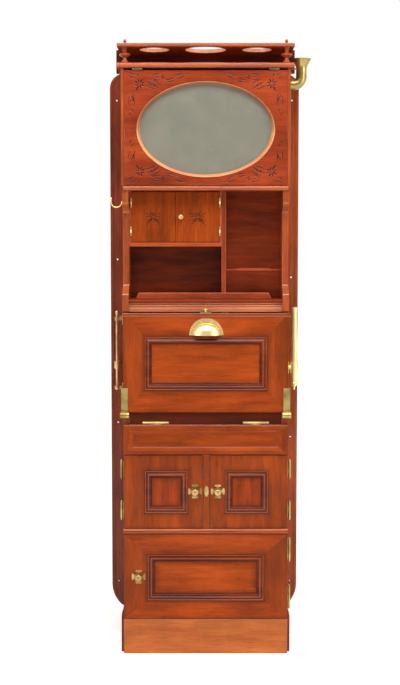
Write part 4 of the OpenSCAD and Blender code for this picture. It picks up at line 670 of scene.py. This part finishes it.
# the brightest brass, a light yellow
brass = metal("rubbed_cast_brass", "FFECAC", "F2DC92", 0.3)
star_z, star_out, star_down, star_up = 1332, 33, 29, 26
for node, body, star_x in [("small_door_left", "small_left", -158.7),
                           ("small_door_right", "small_right", -23.3)]:
    star = []
    for turn, reach, wide in [(0, 22, 2.4), (180, 22, 2.4), (26, 31, 1.6), (154, 31, 1.6),
                              (58, 20, 1.9), (122, 20, 1.9), (90, 16, 1.9), (-38, 26, 1.6),
                              (-142, 27, 1.6), (-52, 33, 1.9), (-128, 33, 1.9), (-66, 20, 1.4),
                              (-114, 20, 1.4), (-90, 17, 1.8)]:
        x, z = math.cos(math.radians(turn)), math.sin(math.radians(turn))
        star.append((2 * x, 2 * z, reach * x, reach * z, 1 if x > 0 else -1, wide))
    depth = chips(star, 1.6)
    bm = solid(node)
    shells = islands(bm)
    leaf = max(shells, key=lambda shell: sum(face.calc_area() for face in shell))
    front = min(p.y for p in points_of(leaf))
    for shell in shells:
        for face in shell:
            face.material_index = shell is not leaf
    soften(bm, 0.0008)
    carve(bm, [(star_x - star_out) / 1000, (star_x + star_out) / 1000],
          [(star_z - star_down) / 1000, (star_z + star_up) / 1000], front,
          lambda x, z: depth(x - star_x, z - star_z), 0.0006)
    piece(node + "_leaf", bm, body, [upright, brass], [node])

# The small doors' one knob: brass, turned from the rod with a domed face on a short neck, and
# screwed into the right door.

# browner brass, dulled by hands and darkened as painted shade
handled_shaded_brass = metal("handled_cast_brass_painted_shade", "E0BC86", "B08A5C", 0.32)
knob = [(0, 0), (4.2, 0), (4.2, 1.2), (3, 2.2), (2.9, 4.5), (4.5, 6), (7.2, 7.4), (8.3, 9),
        (8.5, 10.2), (8.1, 11.6), (6.9, 13.2), (4.6, 14.4), (2.2, 14.9), (0, 15)]
knob_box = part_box("small_door_knob")
knob_foot = round(knob_box[1].y * 1000, 3)
bm = bmesh.new()
turned(bm, knob, (mid(knob_box, 0), knob_foot, mid(knob_box, 2)), "-Y")
piece("small_turned_knob", bm, "small_right", [handled_shaded_brass], ["small_door_knob"])

# The fall front: a mitred mahogany frame round a plain panel, with a bold dark moulding planted
# over the joint and a thin turned bead along the top, which runs past the fall at both ends.


def framed(node, name, body, ring, finishes, shade_and_patina_strength=0.75):
    """A front whose frame has mitred corners: rails, stiles and a sunk panel by their places.

    Painted shade, with some old dark polish, darkens it along the moulding and the edges;
    the arrises get painted highlight.
    """
    bm = solid(node)
    for shell in islands(bm):
        if min(p.y for p in points_of(shell)) < -0.003:
            bmesh.ops.delete(bm, geom=shell, context="FACES")
    soften(bm, 0.0022)
    low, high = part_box(node)
    cx, cz, wide, tall = [v / 1000 for v in ring]
    moulding_width, dark_inside, dark_outside, dark_at_edge = 0.022, 0.02, 0.016, 0.013
    rings = [grow / 1000 for grow in (0, 5, 16, -22, -28, -42)]
    cuts = [(0, cx + s * (wide / 2 + g)) for g in rings for s in (-1, 1)]
    cuts += [(2, cz + s * (tall / 2 + g)) for g in rings for s in (-1, 1)]
    for inset in (0.004, dark_at_edge):
        cuts += [(0, low.x + inset), (0, high.x - inset), (2, low.z + inset), (2, high.z - inset)]
    for axis, value in cuts:
        slice_at(bm, axis, value)
    bm.normal_update()
    # painted shade, with some old dark polish, along the moulding and the edges
    shade_and_patina = bm.verts.layers.float.new("shade_and_patina")
    for v in bm.verts:
        out = max(abs(v.co.x - cx) - wide / 2, abs(v.co.z - cz) - tall / 2)
        edge_near = min(v.co.x - low.x, high.x - v.co.x, v.co.z - low.z, high.z - v.co.z)
        beside = 1 - out / dark_outside
        if out <= -0.001:
            beside = 1 + (out + moulding_width) / dark_inside
        v[shade_and_patina] = min(1.0, max(0.0, beside, 0.8 - edge_near / dark_at_edge)) * shade_and_patina_strength
    for sx in (-1, 1):
        for sz in (-1, 1):
            inside = Vector((cx + sx * wide / 2, 0, cz + sz * tall / 2))
            outside = Vector((high.x if sx > 0 else low.x, 0, high.z if sz > 0 else low.z))
            slice_all(bm, inside, (outside - inside).cross(Vector((0, 1, 0))))
    for face in bm.faces:
        at = face.calc_center_median()
        over_x, over_z = abs(at.x - cx) - wide / 2, abs(at.z - cz) - tall / 2
        room_x = (high.x - cx if at.x > cx else cx - low.x) - wide / 2
        room_z = (high.z - cz if at.z > cz else cz - low.z) - tall / 2
        if slanting(face) and at.y < 0.006:
            face.material_index = 3
        elif over_x < 0 and over_z < 0:
            face.material_index = 2
        else:
            face.material_index = 1 if over_x / room_x > over_z / room_z else 0
    piece(name, bm, body, finishes + [arris], [node])


def strips(name, ring, profile, body, finish, nodes=(), crests=()):
    """Four mitred lengths of moulding round a rectangle: (width in, height out) pairs in mm.

    The crests, given as spans of the width, get a paler finish as painted highlight.
    """
    bm = bmesh.new()
    cx, cz, wide, tall = [v / 1000 for v in ring]
    place = (Matrix.Translation((cx, -profile[0][1] / 1000, cz)) @ upright_turn
             @ Matrix.Diagonal((wide / 2, tall / 2, 1, 1)))
    bmesh.ops.create_grid(bm, x_segments=1, y_segments=1, size=1, matrix=place)
    bm.faces.ensure_lookup_table()
    middle = bm.faces[0]
    for (t0, h0), (t1, h1) in zip(profile, profile[1:]):
        bmesh.ops.inset_region(bm, faces=[middle], thickness=(t1 - t0) / 1000,
                               depth=(h1 - h0) / 1000, use_boundary=True,
                               use_even_offset=True)
    bmesh.ops.delete(bm, geom=[middle], context="FACES_ONLY")
    mitres = [e for e in bm.edges if abs(e.verts[0].co.x - e.verts[1].co.x) > 1e-6
              and abs(e.verts[0].co.z - e.verts[1].co.z) > 1e-6]
    bmesh.ops.split_edges(bm, edges=mitres)
    for face in bm.faces:
        at = face.calc_center_median()
        into = min(wide / 2 - abs(at.x - cx), tall / 2 - abs(at.z - cz)) * 1000
        face.material_index = any(low < into < high for low, high in crests)
    piece(name, bm, body, [finish, crest_wood], nodes, crease=60)


def outline(points):
    """What points span, seen from the front: middle x and z, width and height in mm."""
    return [mid(points, 0), mid(points, 2), span(points, 0), span(points, 2)]


# a warm orange-brown, the glow in the middle of the panels
panel_wood = mahogany("polished_mahogany_panels", "B2490E", "8A360C", "X", seed=3.7)
# nearly black-brown lines round the panels
moulded = mahogany("shellac_darkened_mouldings", "70280A", "481804", "X", gloss=0.16, seed=2.9,
                   coat=0.1, shine=0.12)
# their high parts, paler as painted highlight
crest_wood = mahogany("moulding_crests_painted_highlight", "9C4418", "783010", "X", gloss=0.2, seed=3.1,
                      coat=0.22, shine=0.25)
bold = [(0, 0), (0.05, 1.4), (0.5, 2.5), (1.5, 3.2), (2.8, 3.4), (4.0, 2.9), (4.7, 1.9),
        (5.2, 1.8), (5.9, 2.2), (7.4, 2.7), (9.2, 3.6), (10.4, 4.5), (11.6, 4.95), (13.0, 5.0),
        (14.2, 4.5), (15.0, 3.5), (15.4, 2.4), (16.0, 2.3), (17.2, 2.2), (18.6, 1.3),
        (20.0, -0.2), (20.9, -1.6), (21.6, -2.2), (22.3, -2.3), (22.7, -3.4), (22.95, -4.95)]
bold_crests = ((1.5, 4.0), (10.4, 14.2))
ring = outline(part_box("fall_moulding"))
framed("fall_frame", "fall_mitred_frame", "fall", ring, [across, upright, across])
bm = solid("fall_panel")
piece("fall_plain_panel", bm, "fall", [panel_wood], ["fall_panel"])
strips("fall_bold_moulding", ring, bold, "fall", moulded, ["fall_moulding"],
       bold_crests)

bead_radius, bead_end, bead_y, bead_z = 1.7, 258, 0.5, 1034
bead = [(0, 0), (bead_radius, 0), (bead_radius, 2 * bead_end), (0, 2 * bead_end)]
bm = bmesh.new()
turned(bm, bead, (-bead_end, bead_y, bead_z), "X", steps=16)
# the bead has the arris finish all over, as painted highlight
piece("fall_top_bead", bm, "fall", [arris])

# The frieze flap: one long mitred mahogany frame round a sunk panel, lifted by its lower edge,
# with a rounded inner edge worked on the frame.
end_border, top_border, bottom_border = 17, 20, 11
x, z, wide, tall = outline(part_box("frieze_flap"))
z += (bottom_border - top_border) / 2
wide -= 2 * end_border
tall -= top_border + bottom_border
framed("frieze_flap", "frieze_flap_frame", "flap", (x, z, wide, tall),
       [across, upright, panel_wood], shade_and_patina_strength=0.5)
lap = 0.4
inner_edge = [(0, -0.6), (0.3, 0.3), (1.2, 0.5), (2.2, 0.1), (2.6, -0.6), (4.5, -1.0),
              (7.0, -1.9), (9.4, -3.2), (11.2, -4.2), (12.4, -4.95)]
strips("frieze_inner_edge", (x, z, wide + lap, tall + lap), inner_edge, "flap", across)

# The pair of cupboard doors with square panels, their grain upright all over, and the long
# bottom door. All are mitred frames of mahogany, with the bold moulding planted on.


def planted(node):
    """The outline of the moulding in a door's node, the shell that stands proudest."""
    bm = solid(node)
    shells = [points_of(shell) for shell in islands(bm)]
    bm.free()
    return outline(min(shells, key=lambda points: min(p.y for p in points)))


# the panels' orange-brown with upright streaks
square_panel_wood = mahogany("polished_mahogany_square_panels", "B04410", "82300E", "Z", seed=5.2)
pair = [upright, upright, square_panel_wood]
for door, body, finishes, shade_and_patina_strength in [
        ("left_door", "door_left", pair, 0.5), ("right_door", "door_right", pair, 0.5),
        ("bottom_door", "door_bottom", [across, upright, panel_wood], 0.75)]:
    ring = planted(door)
    framed(door, door + "_frame", body, ring, finishes, shade_and_patina_strength=shade_and_patina_strength)
    strips(door + "_moulding", ring, bold, body, moulded, crests=bold_crests)

# The fall's bolt: a brass stem that slides in a plate, with a low flat knob to lift it by. The
# knob is set lower and made a little wider than in the solid.
bolt_knob_from, bolt_knob_down, bolt_knob_wider = 1.0565, 0.0065, 1.1
bm = solid("fall_bolt")
for v in bm.verts:
    if v.co.z > bolt_knob_from:
        v.co.z -= bolt_knob_down
        v.co.x *= bolt_knob_wider
soften(bm, 0.0003, over=50)
piece("fall_bolt_knob", bm, "bolt", [brass], ["fall_bolt"])

# The fall's cup pull: cast brass, a hollow cup on a plate, held by small screws. The cup is made
# wider and taller than in the solid.

# a paler satin brass on the flat of the plate
plate_brass = metal("cast_brass_pull_plate", "F0D294", "DAB878", 0.34)
# dark brown brass: some tarnish, and painted shade where it sits in shade
brown_brass = metal("brown_brass_painted_shade", "8A7A50", "4E4028", 0.5)
cup_wider, cup_taller, cup_behind, screw_area = 1.1, 1.35, -0.003, 0.0005
cup_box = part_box("cup_pull")
cup_x, cup_low = mid(cup_box, 0) / 1000, cup_box[0].z
bm = solid("cup_pull")
for v in bm.verts:
    if v.co.y < cup_behind:
        v.co.x = cup_x + (v.co.x - cup_x) * cup_wider
        v.co.z = cup_low + (v.co.z - cup_low) * cup_taller
soften(bm, 0.0004, over=50)
for face in bm.faces:
    on_plate = -0.0019 < face.calc_center_median().y < -0.0017
    face.material_index = 2 if face.normal.y < -0.99 and on_plate else 0
# the small screws are dark brown, with painted shade in their holes
for shell in islands(bm):
    if sum(face.calc_area() for face in shell) < screw_area:
        for face in shell:
            face.material_index = 1
piece("cup_pull_brass", bm, "fall", [brass, brown_brass, plate_brass], ["cup_pull"],
      crease=50)

# The other brass fittings, cast or turned. Most are screwed to their boards; the knobs, the arm,
# the tube and the tap's button turn or slide. The mirror's hinges, high up on the carcass and on
# its door, are dark brown, with some tarnish and painted shade from the shelf above.

# a greyer yellow with dark clouds
worn_brass = metal("worn_cast_brass", "C8B070", "8E7440", 0.28)
mirror_hinges_above = 1.7
for node, body, finish, width in [
        ("filler_horn", "carcass", worn_brass, 0.0003),
        ("supply_pipe", "carcass", brass, 0.0003),
        ("towel_post", "carcass", handled_shaded_brass, 0.0004), ("coat_hook", "carcass", brass, 0),
        ("candle_bracket", "carcass", brass, 0.0005),
        ("carcass_fittings", "carcass", worn_brass, 0.0003),
        ("fall_hinge_lugs", "carcass", worn_brass, 0.0005),
        ("mirror_hinge_leaves", "mirror_door", brown_brass, 0.0002),
        ("fall_brackets", "fall", worn_brass, 0.0004),
        ("frieze_hinge_leaves", "flap", worn_brass, 0.0002),
        ("left_door_fittings", "door_left", worn_brass, 0.0004),
        ("left_door_knob", "knob_left", handled_shaded_brass, 0.0003),
        ("right_door_fittings", "door_right", worn_brass, 0.0004),
        ("right_door_knob", "knob_right", handled_shaded_brass, 0.0003),
        ("bottom_door_fittings", "door_bottom", worn_brass, 0.0004),
        ("bottom_door_knob", "knob_bottom", handled_shaded_brass, 0.0003),
        ("towel_arm", "towel_arm_body", handled_shaded_brass, 0.0005),
        ("candle_tube", "candle_tube_body", brass, 0.0003),
        ("tap_button", "tap_button_body", brass, 0.0005)]:
    bm = solid(node)
    if width:
        soften(bm, width, over=50)
    for face in bm.faces:
        # fittings high up, at the mirror's hinges, take the dark brown as painted shade
        high_up = face.calc_center_median().z > mirror_hinges_above
        face.material_index = high_up and node == "carcass_fittings"
    piece(node + "_brass", bm, body, [finish, brown_brass], [node], crease=50)

# The water works: tank, hopper and slop can of tinned sheet, folded and soldered at the seams,
# out of sight behind the doors.

# a dull cold grey
tinned_sheet = metal("tinned_sheet_metal", "B9BBB8", "A3A6A4", 0.36, 30)
for node in ["water_tank", "waste_hopper", "slop_can"]:
    bm = solid(node)
    soften(bm, 0.0005)
    piece(node + "_tinned", bm, "carcass", [tinned_sheet], [node])

# The tip-up basin on the back of the fall: white glazed earthenware, dipped, so that the glaze
# is even and very glossy.
glaze, tree = blank("white_glazed_earthenware")
place = add(tree, "TexCoord").outputs["Object"]
fog = add(tree, "TexNoise", {}, {"Vector": place, "Scale": 14.0, "Detail": 3.0})
colour = add(tree, "Mix", {"data_type": "RGBA"},
             {0: fog.outputs["Fac"], 6: tint("F4F1E8"), 7: tint("E9E4D6")})
body = add(tree, "BsdfPrincipled", {}, {"Base Color": colour.outputs[2], "Roughness": 0.12,
                                        "Coat Weight": 0.4, "Coat Roughness": 0.04})
add(tree, "OutputMaterial", {}, {"Surface": body.outputs[0]})
bm = solid("basin")
piece("glazed_basin", bm, "fall", [glaze], ["basin"], crease=60)
